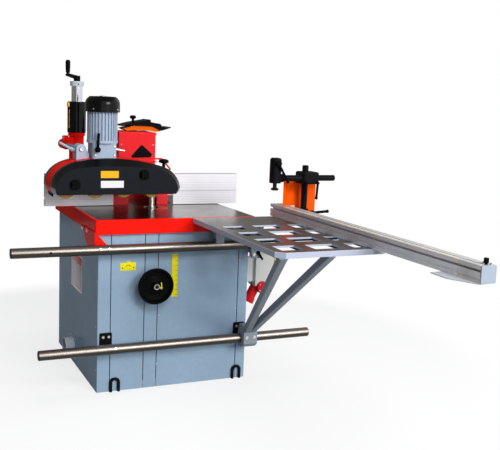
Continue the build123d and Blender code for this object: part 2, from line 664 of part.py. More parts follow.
with BuildPart() as motor_pulley:
    with BuildSketch(upright(SPINDLE_X, MOTOR_Y)):
        Polygon(*pulley_section(MOTOR_PULLEY_R), align=None)
    revolve(axis=Axis((SPINDLE_X, MOTOR_Y, 0), (0, 0, 1)))
    rod((SPINDLE_X, MOTOR_Y, PULLEY_Z + PULLEY_H), (SPINDLE_X, MOTOR_Y, PLATE_Z + 15), 14)
keep(motor_pulley, "motor_pulley")

with BuildPart() as drive_belt:
    for belt_offset, belt_mode in ((BELT_T + SLIDE_GAP, Mode.ADD), (SLIDE_GAP, Mode.SUBTRACT)):
        with BuildSketch(level(PULLEY_Z + 10)):
            with Locations((SPINDLE_X, SPINDLE_Y)):
                Circle(SPINDLE_PULLEY_R + belt_offset)
            with Locations((SPINDLE_X, MOTOR_Y)):
                Circle(MOTOR_PULLEY_R + belt_offset)
            make_hull()
        extrude(amount=PULLEY_H - 20, mode=belt_mode)
keep(drive_belt, "drive_belt")

with BuildPart() as drive_motor:
    with BuildSketch(level(PLATE_Z + 16)):
        with Locations((SPINDLE_X, MOTOR_Y)):
            Circle(MOTOR_R)
            with PolarLocations(MOTOR_R, 24):
                Rectangle(8, 4)
    extrude(amount=MOTOR_H - 40)
    with BuildSketch(level(PLATE_Z + 16 + MOTOR_H - 40)):
        with Locations((SPINDLE_X, MOTOR_Y)):
            Circle(MOTOR_R + 3)
    extrude(amount=36)
    fillet(drive_motor.faces().sort_by(Axis.Z)[-1].edges(), radius=12)
    block(
        SPINDLE_X + MOTOR_R - 12, SPINDLE_X + MOTOR_R + 34, MOTOR_Y - 45, MOTOR_Y + 45,
        PLATE_Z + 50, PLATE_Z + 120,
    )
keep(drive_motor, "drive_motor")

with BuildPart() as handwheel:
    with BuildSketch(Plane(origin=(WHEEL_X, 0, WHEEL_Z), x_dir=(1, 0, 0), z_dir=(0, 0, 1))):
        with BuildLine():
            Polyline(
                (0, WHEEL_Y - 22), (14, WHEEL_Y - 22), (18, WHEEL_Y - 18), (20, WHEEL_Y + 2),
                (50, WHEEL_Y + 10), (WHEEL_R - 16, WHEEL_Y + 4), (WHEEL_R - 12, WHEEL_Y - 10),
            )
            ThreePointArc(
                (WHEEL_R - 12, WHEEL_Y - 10), (WHEEL_R - 4, WHEEL_Y - 14), (WHEEL_R, WHEEL_Y - 4),
            )
            Polyline(
                (WHEEL_R, WHEEL_Y - 4), (WHEEL_R - 4, WHEEL_Y + 12), (50, WHEEL_Y + 18),
                (26, WHEEL_Y + 18), (24, WHEEL_Y + 44), (SHAFT_R, WHEEL_Y + 44),
                (SHAFT_R, SPINDLE_Y - BEVEL_R - 4), (BEVEL_R - SLIDE_GAP, SPINDLE_Y - BEVEL_R - 4),
                (BEVEL_R - SLIDE_GAP, SPINDLE_Y - BEVEL_R), (bevel_small - SLIDE_GAP, SPINDLE_Y - bevel_small),
                (0, SPINDLE_Y - bevel_small), (0, WHEEL_Y - 22),
            )
        make_face()
    revolve(axis=Axis((WHEEL_X, 0, WHEEL_Z), (0, 1, 0)))
keep(handwheel, "handwheel")

# Sliding table, carriage and outrigger

with BuildPart() as sliding_table:
    with BuildSketch(level(SLIDE_UNDER)) as slide_outline:
        with Locations(((SLIDE_LEFT + SLIDE_RIGHT) / 2, (SLIDE_FRONT + SLIDE_BACK) / 2)):
            Rectangle(SLIDE_RIGHT - SLIDE_LEFT, SLIDE_BACK - SLIDE_FRONT)
        corner = slide_outline.vertices().group_by(Axis.Y)[0].sort_by(Axis.X)[0]
        chamfer(corner, length=34)
    extrude(amount=SLIDE_T)
    chamfer(sliding_table.faces().sort_by(Axis.Z)[-1].outer_wire().edges(), length=1.5)
    # The casting is hollow below: a rim, two long ribs and one cross rib carry a thin plate
    rib_1 = SLIDE_LEFT + (WINDOW_COLUMNS[0][1] + WINDOW_COLUMNS[1][0]) / 2
    rib_2 = SLIDE_LEFT + (WINDOW_COLUMNS[1][1] + WINDOW_COLUMNS[2][0]) / 2
    cross_rib = WINDOW_FIRST_Y - WINDOW_PITCH * (WINDOW_ROWS - 1) / 2
    pocket_sides = (
        (SLIDE_LEFT + SLIDE_RIM, rib_1 - SLIDE_RIB / 2),
        (rib_1 + SLIDE_RIB / 2, rib_2 - SLIDE_RIB / 2),
        (rib_2 + SLIDE_RIB / 2, SLIDE_RIGHT - SLIDE_RIM),
    )
    pocket_ends = (
        (SLIDE_BACK - SLIDE_PAD, cross_rib + SLIDE_RIB / 2),
        (cross_rib - SLIDE_RIB / 2, SLIDE_FRONT + SLIDE_BAND),
    )
    with BuildSketch(level(SLIDE_UNDER)):
        for pocket_left, pocket_right in pocket_sides:
            for pocket_back, pocket_front in pocket_ends:
                with Locations(((pocket_left + pocket_right) / 2, (pocket_back + pocket_front) / 2)):
                    RectangleRounded(pocket_right - pocket_left, pocket_back - pocket_front, 6)
    extrude(amount=SLIDE_T - SLIDE_PLATE, mode=Mode.SUBTRACT)
    with BuildSketch(level(SLIDE_UNDER)):
        for column_left, column_right in WINDOW_COLUMNS:
            for row in range(WINDOW_ROWS):
                window_y = WINDOW_FIRST_Y - row * WINDOW_PITCH
                with Locations((SLIDE_LEFT + (column_left + column_right) / 2, window_y)):
                    RectangleRounded(column_right - column_left, WINDOW_D, 8)
        with Locations((FENCE_X, PIVOT_Y)):
            Circle(PIVOT_R + RUN_FIT)
    extrude(amount=SLIDE_T, mode=Mode.SUBTRACT)
keep(sliding_table, "sliding_table")

carriage_front = RAIL_Y - RAIL_R - 22
carriage_back = RAIL_Y + SHOE_W / 2 + 4
shoe_top = UPPER_RAIL_Z + RAIL_R + SHOE_T
shoe_low = UPPER_RAIL_Z - RAIL_R - SHOE_T

with BuildPart() as carriage:
    with BuildSketch(side(CARRIAGE_LEFT)):
        with Locations(((carriage_front + carriage_back) / 2, SLIDE_UNDER - 13)):
            Rectangle(carriage_back - carriage_front, 26)
        with Locations(((carriage_front + carriage_back) / 2, SLIDE_UNDER - 17)):
            Rectangle(carriage_back - carriage_front - 16, 18, mode=Mode.SUBTRACT)
    extrude(amount=CARRIAGE_RIGHT - CARRIAGE_LEFT)
    for post_x in (SHOE_LEFT_X, SHOE_RIGHT_X):
        with BuildSketch(front(RAIL_Y - SHOE_W / 2)):
            Polygon(
                (post_x - 34, SLIDE_UNDER), (post_x + 34, SLIDE_UNDER),
                (post_x + SHOE_L / 2, shoe_top), (post_x - SHOE_L / 2, shoe_top), align=None,
            )
        extrude(amount=-SHOE_W)
    with BuildSketch(front(RAIL_Y - RAIL_R - 6)):
        Polygon(
            (SHOE_RIGHT_X - 42, SLIDE_UNDER), (SHOE_RIGHT_X + 34, SLIDE_UNDER),
            (SHOE_RIGHT_X + SHOE_L / 2, shoe_low - 34), (SHOE_RIGHT_X - SHOE_L / 2, shoe_low - 34),
            align=None,
        )
    extrude(amount=8)
    block(
        SHOE_RIGHT_X - SHOE_L / 2, SHOE_RIGHT_X + SHOE_L / 2, RAIL_Y - RAIL_R - 14, RAIL_Y + SHOE_W / 2,
        shoe_low - 10, shoe_low,
    )
    for shoe_x, shoe_bottom, shoe_crown in (
        (SHOE_LEFT_X, UPPER_RAIL_Z + 14, shoe_top),
        (SHOE_RIGHT_X, UPPER_RAIL_Z + 14, shoe_top),
        (SHOE_RIGHT_X, shoe_low, UPPER_RAIL_Z - 14),
    ):
        block(
            shoe_x - SHOE_L / 2, shoe_x + SHOE_L / 2, RAIL_Y - SHOE_W / 2, RAIL_Y + SHOE_W / 2,
            shoe_bottom, shoe_crown,
        )
    rod(
        (CARRIAGE_LEFT, RAIL_Y, UPPER_RAIL_Z), (CARRIAGE_RIGHT, RAIL_Y, UPPER_RAIL_Z),
        RAIL_R + RUN_FIT, mode=Mode.SUBTRACT,
    )
keep(carriage, "carriage")

with BuildPart() as support_arm:
    with BuildSketch(side(COLLAR_LEFT)):
        Polygon(
            (RAIL_Y + 28, LOWER_RAIL_Z + 30), (RAIL_Y + 10, LOWER_RAIL_Z + 76),
            (RAIL_Y - 26, LOWER_RAIL_Z + 76), (RAIL_Y - 52, LOWER_RAIL_Z + 36),
            (RAIL_Y - 52, LOWER_RAIL_Z - 22), (RAIL_Y - 28, LOWER_RAIL_Z - 42),
            (RAIL_Y + 14, LOWER_RAIL_Z - 42), (RAIL_Y + 28, LOWER_RAIL_Z - 24), align=None,
        )
        with Locations((RAIL_Y, LOWER_RAIL_Z)):
            Circle(RAIL_R + RUN_FIT, mode=Mode.SUBTRACT)
        with Locations((RAIL_Y + 28, LOWER_RAIL_Z)):
            Rectangle(40, 18, mode=Mode.SUBTRACT)
    extrude(amount=COLLAR_RIGHT - COLLAR_LEFT)
    fillet(support_arm.edges().filter_by(Axis.X).group_by(Axis.Z)[-1], radius=10)
    for foot_x, head_x in zip(STRUT_FEET, STRUT_HEADS):
        strut_start = Vector(foot_x, RAIL_Y - 30, LOWER_RAIL_Z + 46)
        strut_end = Vector(head_x, SLIDE_FRONT + 20, SLIDE_UNDER)
        run = strut_end - strut_start
        strut_end = strut_end + run.normalized() * 30
        run = strut_end - strut_start
        with BuildSketch(Plane(origin=strut_start, x_dir=(1, 0, 0), z_dir=run)) as section:
            RectangleRounded(STRUT_SIZE, STRUT_SIZE, 4)
        extrude(section.sketch, amount=run.length)
        block(
            head_x - 18, head_x + 18, SLIDE_FRONT + 2, SLIDE_FRONT + 66, SLIDE_UNDER - 6, SLIDE_UNDER,
        )
    block(
        SLIDE_LEFT - 60, SLIDE_RIGHT, SLIDE_FRONT - 100, SLIDE_FRONT + 120, SLIDE_UNDER, SLIDE_UNDER + 80,
        mode=Mode.SUBTRACT,
    )
    rod(
        (COLLAR_LEFT - 5, RAIL_Y, LOWER_RAIL_Z), (COLLAR_RIGHT + 5, RAIL_Y, LOWER_RAIL_Z),
        RAIL_R + RUN_FIT, mode=Mode.SUBTRACT,
    )
keep(support_arm, "support_arm")

# Mitre fence on the sliding table

slot_z = FENCE_Z + 44
slot_mouth = 9.0

with BuildPart() as mitre_fence:
    with BuildSketch(front(FENCE_BACK)):
        with Locations((FENCE_X, FENCE_Z + FENCE_H / 2)):
            RectangleRounded(FENCE_W, FENCE_H, 2)
        with Locations((FENCE_X, CORE_Z + CORE_H / 2)):
            Rectangle(CORE_W, CORE_H, mode=Mode.SUBTRACT)
        with Locations((FENCE_LEFT, slot_z), (FENCE_RIGHT, slot_z)):
            Rectangle(12, slot_mouth, mode=Mode.SUBTRACT)
        with Locations((FENCE_LEFT + 10, slot_z), (FENCE_RIGHT - 10, slot_z)):
            Rectangle(10, 17, mode=Mode.SUBTRACT)
        with Locations((FENCE_X - 4, FENCE_TOP)):
            Rectangle(slot_mouth, 10, mode=Mode.SUBTRACT)
        with Locations((FENCE_X - 4, FENCE_TOP - 9)):
            Rectangle(17, 9, mode=Mode.SUBTRACT)
        with Locations((FENCE_LEFT, FENCE_Z + 20), (FENCE_RIGHT, FENCE_Z + 20)):
            Rectangle(3, 6, mode=Mode.SUBTRACT)
        with Locations((FENCE_LEFT + 12, FENCE_TOP), (FENCE_RIGHT - 14, FENCE_TOP)):
            Rectangle(5, 2, mode=Mode.SUBTRACT)
    extrude(amount=FENCE_BACK - FENCE_FRONT)
    rod((FENCE_X, PIVOT_Y, SLIDE_UNDER - 4), (FENCE_X, PIVOT_Y, FENCE_Z + 4), PIVOT_R)
keep(mitre_fence, "mitre_fence")

head_back = FENCE_FRONT - SLIDE_GAP
head_front = FENCE_FRONT - HEAD_LENGTH

with BuildPart() as fence_extension:
    with BuildSketch(front(head_back)):
        with Locations((FENCE_X, FENCE_Z + FENCE_H / 2)):
            RectangleRounded(FENCE_W, FENCE_H, 2)
        with Locations((FENCE_LEFT, slot_z)):
            Rectangle(12, slot_mouth, mode=Mode.SUBTRACT)
        with Locations((FENCE_LEFT + 10, slot_z)):
            Rectangle(10, 17, mode=Mode.SUBTRACT)
        with Locations((FENCE_LEFT, FENCE_Z + 14)):
            Rectangle(5, 10, mode=Mode.SUBTRACT)
        with Locations((FENCE_X - 4, FENCE_TOP)):
            Rectangle(slot_mouth, 10, mode=Mode.SUBTRACT)
    extrude(amount=head_back - head_front)
    with BuildSketch(front(head_back + TONGUE_LENGTH)):
        with Locations((FENCE_X, CORE_Z + CORE_H / 2)):
            RectangleRounded(CORE_W - 2 * SLIDE_GAP, CORE_H - 2 * SLIDE_GAP, 2)
    extrude(amount=TONGUE_LENGTH + 10)
    with BuildSketch(level(FENCE_Z - 4)):
        Polygon(
            (FENCE_LEFT + 30, head_back + 92), (FENCE_LEFT, head_back + 92),
            (FENCE_LEFT - 49, head_back + 88), (FENCE_LEFT - 53, head_back - 15),
            (FENCE_LEFT, head_front + 4), (FENCE_LEFT + 30, head_front + 4), align=None,
        )
    extrude(amount=4 - SLIDE_GAP)
    block(FENCE_LEFT, FENCE_LEFT + 30, head_front + 4, head_back - 4, FENCE_Z - 1, FENCE_Z + 1)
keep(fence_extension, "fence_extension")

with BuildPart() as fence_end_cap:
    with BuildSketch(front(head_front)):
        with Locations((FENCE_X, FENCE_Z + FENCE_H / 2)):
            RectangleRounded(FENCE_W + 1, FENCE_H + 1, 4)
    extrude(amount=CAP_T)
    chamfer(fence_end_cap.faces().sort_by(Axis.Y)[0].edges(), length=1)
keep(fence_end_cap, "fence_end_cap")

# Work clamp on the right side of the mitre fence

base_top = FENCE_TOP - 16
base_front = POST_Y - 50
base_back = POST_Y + 50

with BuildPart() as clamp_post:
    with BuildSketch(level(FENCE_Z + 8)):
        with Locations(((FENCE_RIGHT + POST_X + 40) / 2, POST_Y)):
            RectangleRounded(POST_X + 40 - FENCE_RIGHT, base_back - base_front, 4)
    extrude(amount=base_top - FENCE_Z - 8)
    with BuildSketch(level(base_top)):
        with Locations((POST_X, POST_Y)):
            Circle(POST_R + 9)
    extrude(amount=12)
    rod((POST_X, POST_Y, base_top - 10), (POST_X, POST_Y, POST_TOP), POST_R)
    chamfer(clamp_post.faces().sort_by(Axis.Z)[-1].edges(), length=3)
    post_lever_x = POST_X + 40
    post_lever_z = FENCE_Z + 38
    rod(
        (post_lever_x + 1, POST_Y, post_lever_z), (post_lever_x - 10, POST_Y, post_lever_z),
        STUD_R + RUN_FIT, mode=Mode.SUBTRACT,
    )
keep(clamp_post, "clamp_post")

with BuildPart() as post_lever:
    rod((post_lever_x - 8, POST_Y, post_lever_z), (post_lever_x + 4, POST_Y, post_lever_z), STUD_R)
    rod((post_lever_x + SLIDE_GAP, POST_Y, post_lever_z), (post_lever_x + 18, POST_Y, post_lever_z), 12)
    post_grip = (post_lever_x + 92, POST_Y - 14, post_lever_z + 8)
    rod((post_lever_x + 12, POST_Y, post_lever_z), post_grip, 7)
    with Locations(post_grip):
        Sphere(9)
keep(post_lever, "post_lever")

with BuildPart() as clamp_guard:
    with BuildSketch(level(FENCE_TOP + 6)):
        with BuildLine():
            Polyline(
                (POST_X - 109, base_back - 34), (POST_X - 70, base_back), (POST_X + 92, base_back),
                (POST_X + 92, base_back + 3), (POST_X - 71.4, base_back + 3),
                (POST_X - 111.3, base_back - 32), (POST_X - 109, base_back - 34),
            )
        make_face()
    extrude(amount=136)
    block(FENCE_RIGHT + 3, POST_X + 92, base_back, base_back + 3, FENCE_Z + 12, FENCE_TOP + 10)
keep(clamp_guard, "clamp_guard")

with BuildPart() as clamp_sleeve:
    with BuildSketch(level(BAR_Z - 30)):
        with Locations((POST_X, (POST_Y + BAR_Y) / 2)):
            RectangleRounded(96, BAR_R + POST_R + 24 + POST_Y - BAR_Y, 20)
    extrude(amount=60)
    fillet(clamp_sleeve.faces().sort_by(Axis.Z)[-1].edges(), radius=9)
    fillet(clamp_sleeve.faces().sort_by(Axis.Z)[0].edges(), radius=9)
    rod((POST_X, POST_Y, BAR_Z - 40), (POST_X, POST_Y, BAR_Z + 40), POST_R + RUN_FIT, mode=Mode.SUBTRACT)
    rod((POST_X - 60, BAR_Y, BAR_Z), (POST_X + 60, BAR_Y, BAR_Z), BAR_R + RUN_FIT, mode=Mode.SUBTRACT)
    sleeve_front = (POST_Y + BAR_Y) / 2 - (BAR_R + POST_R + 24 + POST_Y - BAR_Y) / 2
    lever_top = BAR_Z - 22
    for lever_x in (POST_X - 34, POST_X + 30):
        rod(
            (lever_x, sleeve_front - 1, lever_top), (lever_x, sleeve_front + 10, lever_top),
            STUD_R + RUN_FIT, mode=Mode.SUBTRACT,
        )
keep(clamp_sleeve, "clamp_sleeve")

for lever_name, lever_x, drop in (
    ("reach_lever", POST_X - 34, 48.0), ("height_lever", POST_X + 30, 74.0),
):
    with BuildPart() as sleeve_lever:
        rod((lever_x, sleeve_front - 4, lever_top), (lever_x, sleeve_front + 8, lever_top), STUD_R)
        rod((lever_x, sleeve_front - 16, lever_top), (lever_x, sleeve_front - SLIDE_GAP, lever_top), 7)
        grip_end = (lever_x - 8, sleeve_front - 16, lever_top - drop)
        rod((lever_x, sleeve_front - 10, lever_top), grip_end, 6)
        with Locations(grip_end):
            Sphere(8)
    keep(sleeve_lever, lever_name)

cam_z = BAR_Z + 74

with BuildPart() as clamp_arm:
    with BuildSketch(level(BAR_Z - HEAD_DROP)):
        with Locations((HEAD_X, BAR_Y)):
            RectangleRounded(HEAD_W, HEAD_W, 18)
    extrude(amount=HEAD_DROP + HEAD_RISE)
    fillet(clamp_arm.faces().sort_by(Axis.Z)[-1].edges(), radius=12)
    rod((HEAD_X + 14, BAR_Y, BAR_Z), (HEAD_X + 42, BAR_Y, BAR_Z), BAR_R + 6)
    rod((HEAD_X + 20, BAR_Y, BAR_Z), (POST_X + 134, BAR_Y, BAR_Z), BAR_R)
    block(HEAD_X - 15, HEAD_X + 30, BAR_Y - 9, BAR_Y + 9, BAR_Z + 48, cam_z + 18, mode=Mode.SUBTRACT)
    rod((HEAD_X, BAR_Y, BAR_Z - 40), (HEAD_X, BAR_Y, cam_z), PLUNGER_R + RUN_FIT, mode=Mode.SUBTRACT)
    rod((HEAD_X, BAR_Y - 40, cam_z), (HEAD_X, BAR_Y + 40, cam_z), 5 + RUN_FIT, mode=Mode.SUBTRACT)
keep(clamp_arm, "clamp_arm")

with BuildPart() as clamp_lever:
    lever_y = BAR_Y - HEAD_W / 2
    rod((HEAD_X, lever_y - 10, cam_z), (HEAD_X, BAR_Y + HEAD_W / 2 + 4, cam_z), 5)
    rod((HEAD_X, BAR_Y - 8, cam_z), (HEAD_X, BAR_Y + 8, cam_z), 13)
    rod((HEAD_X, lever_y - 16, cam_z), (HEAD_X, lever_y - SLIDE_GAP, cam_z), 14)
    clamp_grip = (HEAD_X + 50, lever_y - 16, cam_z - 89)
    rod((HEAD_X, lever_y - 9, cam_z), clamp_grip, 6)
    with Locations(clamp_grip):
        Sphere(8)
keep(clamp_lever, "clamp_lever")

with BuildPart() as clamp_plunger:
    foot_z = BAR_Z - 60
    with BuildSketch(upright(HEAD_X, BAR_Y)):
        Polygon(
            (0, foot_z), (16, foot_z), (19, foot_z + 4), (19, foot_z + 9), (PLUNGER_R, foot_z + 13),
            (PLUNGER_R, cam_z - 13.5), (0, cam_z - 13.5), align=None,
        )
    revolve(axis=Axis((HEAD_X, BAR_Y, 0), (0, 0, 1)))
keep(clamp_plunger, "clamp_plunger")

# Cutter hood with its two fence plates

hood_inner_left = HOOD_LEFT + HOOD_SHEET
hood_inner_right = HOOD_RIGHT - HOOD_SHEET
hood_under = HOOD_TOP - HOOD_SHEET
tower_under = TOWER_TOP - HOOD_SHEET
lintel_z = HOOD_TOP - 24
rim_z = (HOOD_TOP + 44, HOOD_TOP + 48)
carrier_z = (PLATE_BOTTOM + 50, PLATE_BOTTOM + 120)
foot_z = (TABLE_HEIGHT, TABLE_HEIGHT + 5)
RIM = 9.0
FOOT_W = 30.0
CARRIER_T = 8.0

box_walls = (
    (HOOD_LEFT, hood_inner_left, HOOD_FRONT, HOOD_BACK, TABLE_HEIGHT, hood_under),
    (hood_inner_right, HOOD_RIGHT, HOOD_FRONT, HOOD_BACK, TABLE_HEIGHT, hood_under),
    (hood_inner_left, HOOD_MOUTH[0], HOOD_FRONT, HOOD_FRONT + HOOD_SHEET, TABLE_HEIGHT, hood_under),
    (HOOD_MOUTH[1], hood_inner_right, HOOD_FRONT, HOOD_FRONT + HOOD_SHEET, TABLE_HEIGHT, hood_under),
    (*HOOD_MOUTH, HOOD_FRONT, HOOD_FRONT + HOOD_SHEET, lintel_z, hood_under),
)
box_top = (
    (HOOD_LEFT, TOWER_LEFT, HOOD_FRONT, HOOD_BACK, hood_under, HOOD_TOP),
    (TOWER_RIGHT, HOOD_RIGHT, HOOD_FRONT, HOOD_BACK, hood_under, HOOD_TOP),
    (TOWER_LEFT, TOWER_RIGHT, HOOD_FRONT, TOWER_FRONT, hood_under, HOOD_TOP),
    (TOWER_LEFT, TOWER_RIGHT, TOWER_BACK, HOOD_BACK, hood_under, HOOD_TOP),
)
tower_walls = (
    (TOWER_LEFT, TOWER_LEFT + HOOD_SHEET, TOWER_FRONT, TOWER_BACK, hood_under, tower_under),
    (TOWER_RIGHT - HOOD_SHEET, TOWER_RIGHT, TOWER_FRONT, TOWER_BACK, hood_under, tower_under),
    (TOWER_LEFT + HOOD_SHEET, TOWER_RIGHT - HOOD_SHEET, TOWER_FRONT, TOWER_FRONT + HOOD_SHEET,
     hood_under, tower_under),
    (TOWER_LEFT + HOOD_SHEET, TOWER_RIGHT - HOOD_SHEET, TOWER_BACK - HOOD_SHEET, TOWER_BACK,
     hood_under, tower_under),
)
tower_rim = (
    (TOWER_LEFT - RIM, TOWER_LEFT, TOWER_FRONT - RIM, TOWER_BACK + RIM, *rim_z),
    (TOWER_RIGHT, TOWER_RIGHT + RIM, TOWER_FRONT - RIM, TOWER_BACK + RIM, *rim_z),
    (TOWER_LEFT, TOWER_RIGHT, TOWER_FRONT - RIM, TOWER_FRONT, *rim_z),
    (TOWER_LEFT, TOWER_RIGHT, TOWER_BACK, TOWER_BACK + RIM, *rim_z),
)
feet_and_carriers = (
    (HOOD_LEFT - FOOT_W, HOOD_LEFT, HOOD_FRONT + 40, HOOD_BACK, *foot_z),
    (HOOD_RIGHT, HOOD_RIGHT + FOOT_W, HOOD_FRONT + 40, HOOD_BACK, *foot_z),
    (CARRIER_LEFT, HOOD_LEFT, HOOD_FRONT, HOOD_FRONT + CARRIER_T, *carrier_z),
    (HOOD_RIGHT, CARRIER_RIGHT, HOOD_FRONT, HOOD_FRONT + CARRIER_T, *carrier_z),
)
hood_pieces = []
for corners in (*box_walls, *box_top, *tower_walls, *tower_rim, *feet_and_carriers):
    with BuildPart() as hood_plate:
        block(*corners)
    hood_pieces.append(hood_plate)

with BuildPart() as hood_back:
    block(hood_inner_left, hood_inner_right, HOOD_BACK - HOOD_SHEET, HOOD_BACK, TABLE_HEIGHT, hood_under)
    rod(
        (HOOD_PORT_X, HOOD_BACK - 10, HOOD_PORT_Z), (HOOD_PORT_X, HOOD_BACK + 10, HOOD_PORT_Z),
        HOOD_PORT_R - 3, mode=Mode.SUBTRACT,
    )

with BuildPart() as hood_port:
    with BuildSketch(front(HOOD_BACK)):
        with Locations((HOOD_PORT_X, HOOD_PORT_Z)):
            Circle(HOOD_PORT_R)
            Circle(HOOD_PORT_R - 3, mode=Mode.SUBTRACT)
    extrude(amount=-HOOD_PORT_LENGTH)

with BuildPart() as tower_cap:
    block(TOWER_LEFT, TOWER_RIGHT, TOWER_FRONT, TOWER_BACK, tower_under, TOWER_TOP)
    fillet(tower_cap.faces().sort_by(Axis.Z)[-1].edges(), radius=HOOD_SHEET - 0.5)

with BuildPart() as tower_bow:
    with BuildLine() as bow:
        FilletPolyline(
            (TOWER_RIGHT, BOW_Y, HOOD_TOP + 54), (TOWER_RIGHT + 76, BOW_Y, HOOD_TOP + 54),
            (TOWER_RIGHT + 128, BOW_Y, HOOD_TOP - 8), radius=22,
        )
    with BuildSketch(Plane(origin=bow.line @ 0, z_dir=bow.line % 0)):
        Circle(5)
    sweep(path=bow.line)

with BuildPart() as tower_gusset:
    with BuildSketch(front(TOWER_FRONT + 40)):
        Polygon(
            (TOWER_RIGHT, TOWER_TOP - 36), (TOWER_RIGHT + 22, TOWER_TOP - 8),
            (TOWER_RIGHT, TOWER_TOP - 8), align=None,
        )
    extrude(amount=-60)
hood_pieces += [hood_back, hood_port, tower_cap, tower_bow, tower_gusset]
keep_group(hood_pieces, "cutter_hood")

groove_pitch = 17.0
for plate_name, (plate_left, plate_right), spindle_end in (
    ("left_fence_plate", LEFT_PLATE, 1), ("right_fence_plate", RIGHT_PLATE, -1),
):
    plate_face = HOOD_FRONT - PLATE_T
    plate_back = HOOD_FRONT - SLIDE_GAP
    with BuildPart() as fence_plate:
        with BuildSketch(side(plate_left)):
            with Locations(((plate_face + plate_back) / 2, (PLATE_BOTTOM + PLATE_TOP) / 2)):
                Rectangle(plate_back - plate_face, PLATE_H)
            for groove in range(9):
                with Locations((plate_face, PLATE_BOTTOM + 18 + groove * groove_pitch)):
                    Rectangle(3, 3, mode=Mode.SUBTRACT)
            with Locations((HOOD_FRONT, PLATE_BOTTOM + 40), (HOOD_FRONT, PLATE_BOTTOM + 130)):
                Rectangle(24, 11, mode=Mode.SUBTRACT)
            with Locations((HOOD_FRONT - 16, PLATE_BOTTOM + 40), (HOOD_FRONT - 16, PLATE_BOTTOM + 130)):
                Rectangle(10, 20, mode=Mode.SUBTRACT)
        extrude(amount=plate_right - plate_left)
        end_x = plate_right if spindle_end > 0 else plate_left
        with BuildSketch(level(PLATE_BOTTOM)):
            Polygon(
                (end_x, plate_face + 6), (end_x - spindle_end * 36, HOOD_FRONT), (end_x, HOOD_FRONT),
                align=None,
            )
        extrude(amount=PLATE_H, mode=Mode.SUBTRACT)
    keep(fence_plate, plate_name)

with BuildPart() as hood_fittings:
    with BuildSketch(front(TOWER_FRONT)) as flap:
        Polygon(
            (TOWER_LEFT + 63, HOOD_TOP + 68), (TOWER_LEFT + 128, HOOD_TOP + 140),
            (TOWER_RIGHT - 19, HOOD_TOP + 87), (TOWER_RIGHT - 29, HOOD_TOP + 72), align=None,
        )
        fillet(flap.vertices(), radius=7)
    extrude(amount=10)
    fillet(hood_fittings.faces().sort_by(Axis.Y)[0].edges(), radius=4)
    with BuildSketch(upright(*HOOD_KNOB)):
        Polygon(
            (0, HOOD_TOP), (12, HOOD_TOP), (12, HOOD_TOP + 5), (9, HOOD_TOP + 8), (9, HOOD_TOP + 34),
            (26, HOOD_TOP + 38), (29, HOOD_TOP + 44), (26, HOOD_TOP + 54), (12, HOOD_TOP + 59),
            (0, HOOD_TOP + 59), align=None,
        )
    revolve(axis=Axis((*HOOD_KNOB, 0), (0, 0, 1)))
keep(hood_fittings, "hood_fittings")

# Swivelling guard on top of the hood

with BuildPart() as guard_shoe:
    with BuildSketch(upright(GUARD_X, GUARD_Y + 55)):
        Polygon(
            (-70, TOWER_TOP + 16), (-46, TOWER_TOP + 4), (-15, TOWER_TOP + 8), (94, TOWER_TOP + 6),
            (121, TOWER_TOP + 1), (148, TOWER_TOP + 7), (96, TOWER_TOP + 32), (-13, TOWER_TOP + 34),
            (-28, TOWER_TOP + 27), align=None,
        )
    extrude(amount=110)
    rod((GUARD_X, GUARD_Y, TOWER_TOP), (GUARD_X, GUARD_Y, TOWER_TOP + 20), 22)
keep(guard_shoe, "guard_shoe")

with BuildPart() as guard_visor:
    with BuildSketch(upright(GUARD_X, GUARD_Y + 66)):
        with BuildLine():
            Polyline((-13, TOWER_TOP + 34), (96, TOWER_TOP + 32), (148, TOWER_TOP + 9))
            Spline((148, TOWER_TOP + 9), (173, TOWER_TOP + 16), (203, TOWER_TOP + 27))
            Line((203, TOWER_TOP + 27), (201, TOWER_TOP + 31))
            Spline((201, TOWER_TOP + 31), (171, TOWER_TOP + 24), (140, TOWER_TOP + 47))
            Polyline(
                (140, TOWER_TOP + 47), (85, TOWER_TOP + 55), (82, TOWER_TOP + 69), (59, TOWER_TOP + 64),
                (-17, TOWER_TOP + 50), (-82, TOWER_TOP + 33), (-80, TOWER_TOP + 29),
                (-28, TOWER_TOP + 36), (-13, TOWER_TOP + 34),
            )
        make_face()
    extrude(amount=132)
    knob_z = TOWER_TOP + 50
    with BuildSketch(upright(GUARD_X, GUARD_Y)):
        Polygon(
            (0, knob_z), (7, knob_z), (7, knob_z + 18), (17, knob_z + 22), (17, knob_z + 34),
            (12, knob_z + 38), (0, knob_z + 38), align=None,
        )
    revolve(axis=Axis((GUARD_X, GUARD_Y, 0), (0, 0, 1)))
keep(guard_visor, "guard_visor")

# Column of the power feeder

with BuildPart() as feeder_base:
    with BuildSketch(upright(COLUMN_X, COLUMN_Y)):
        Polygon(
            (COLUMN_R + RUN_FIT, TABLE_HEIGHT + 10), (COLUMN_R + RUN_FIT, TABLE_HEIGHT + 92),
            (COLUMN_R + 16, TABLE_HEIGHT + 92), (COLUMN_R + 20, TABLE_HEIGHT + 34),
            (COLUMN_R + 41, TABLE_HEIGHT + 22), (COLUMN_R + 41, TABLE_HEIGHT),
            (0, TABLE_HEIGHT), (0, TABLE_HEIGHT + 10), align=None,
        )
    revolve(axis=Axis((COLUMN_X, COLUMN_Y, 0), (0, 0, 1)))
    with Locations((COLUMN_X, COLUMN_Y, TABLE_HEIGHT + 22)):
        with PolarLocations(COLUMN_R + 30, 4, start_angle=45):
            CounterBoreHole(5.5, 9, 8, depth=22)
keep(feeder_base, "feeder_base")

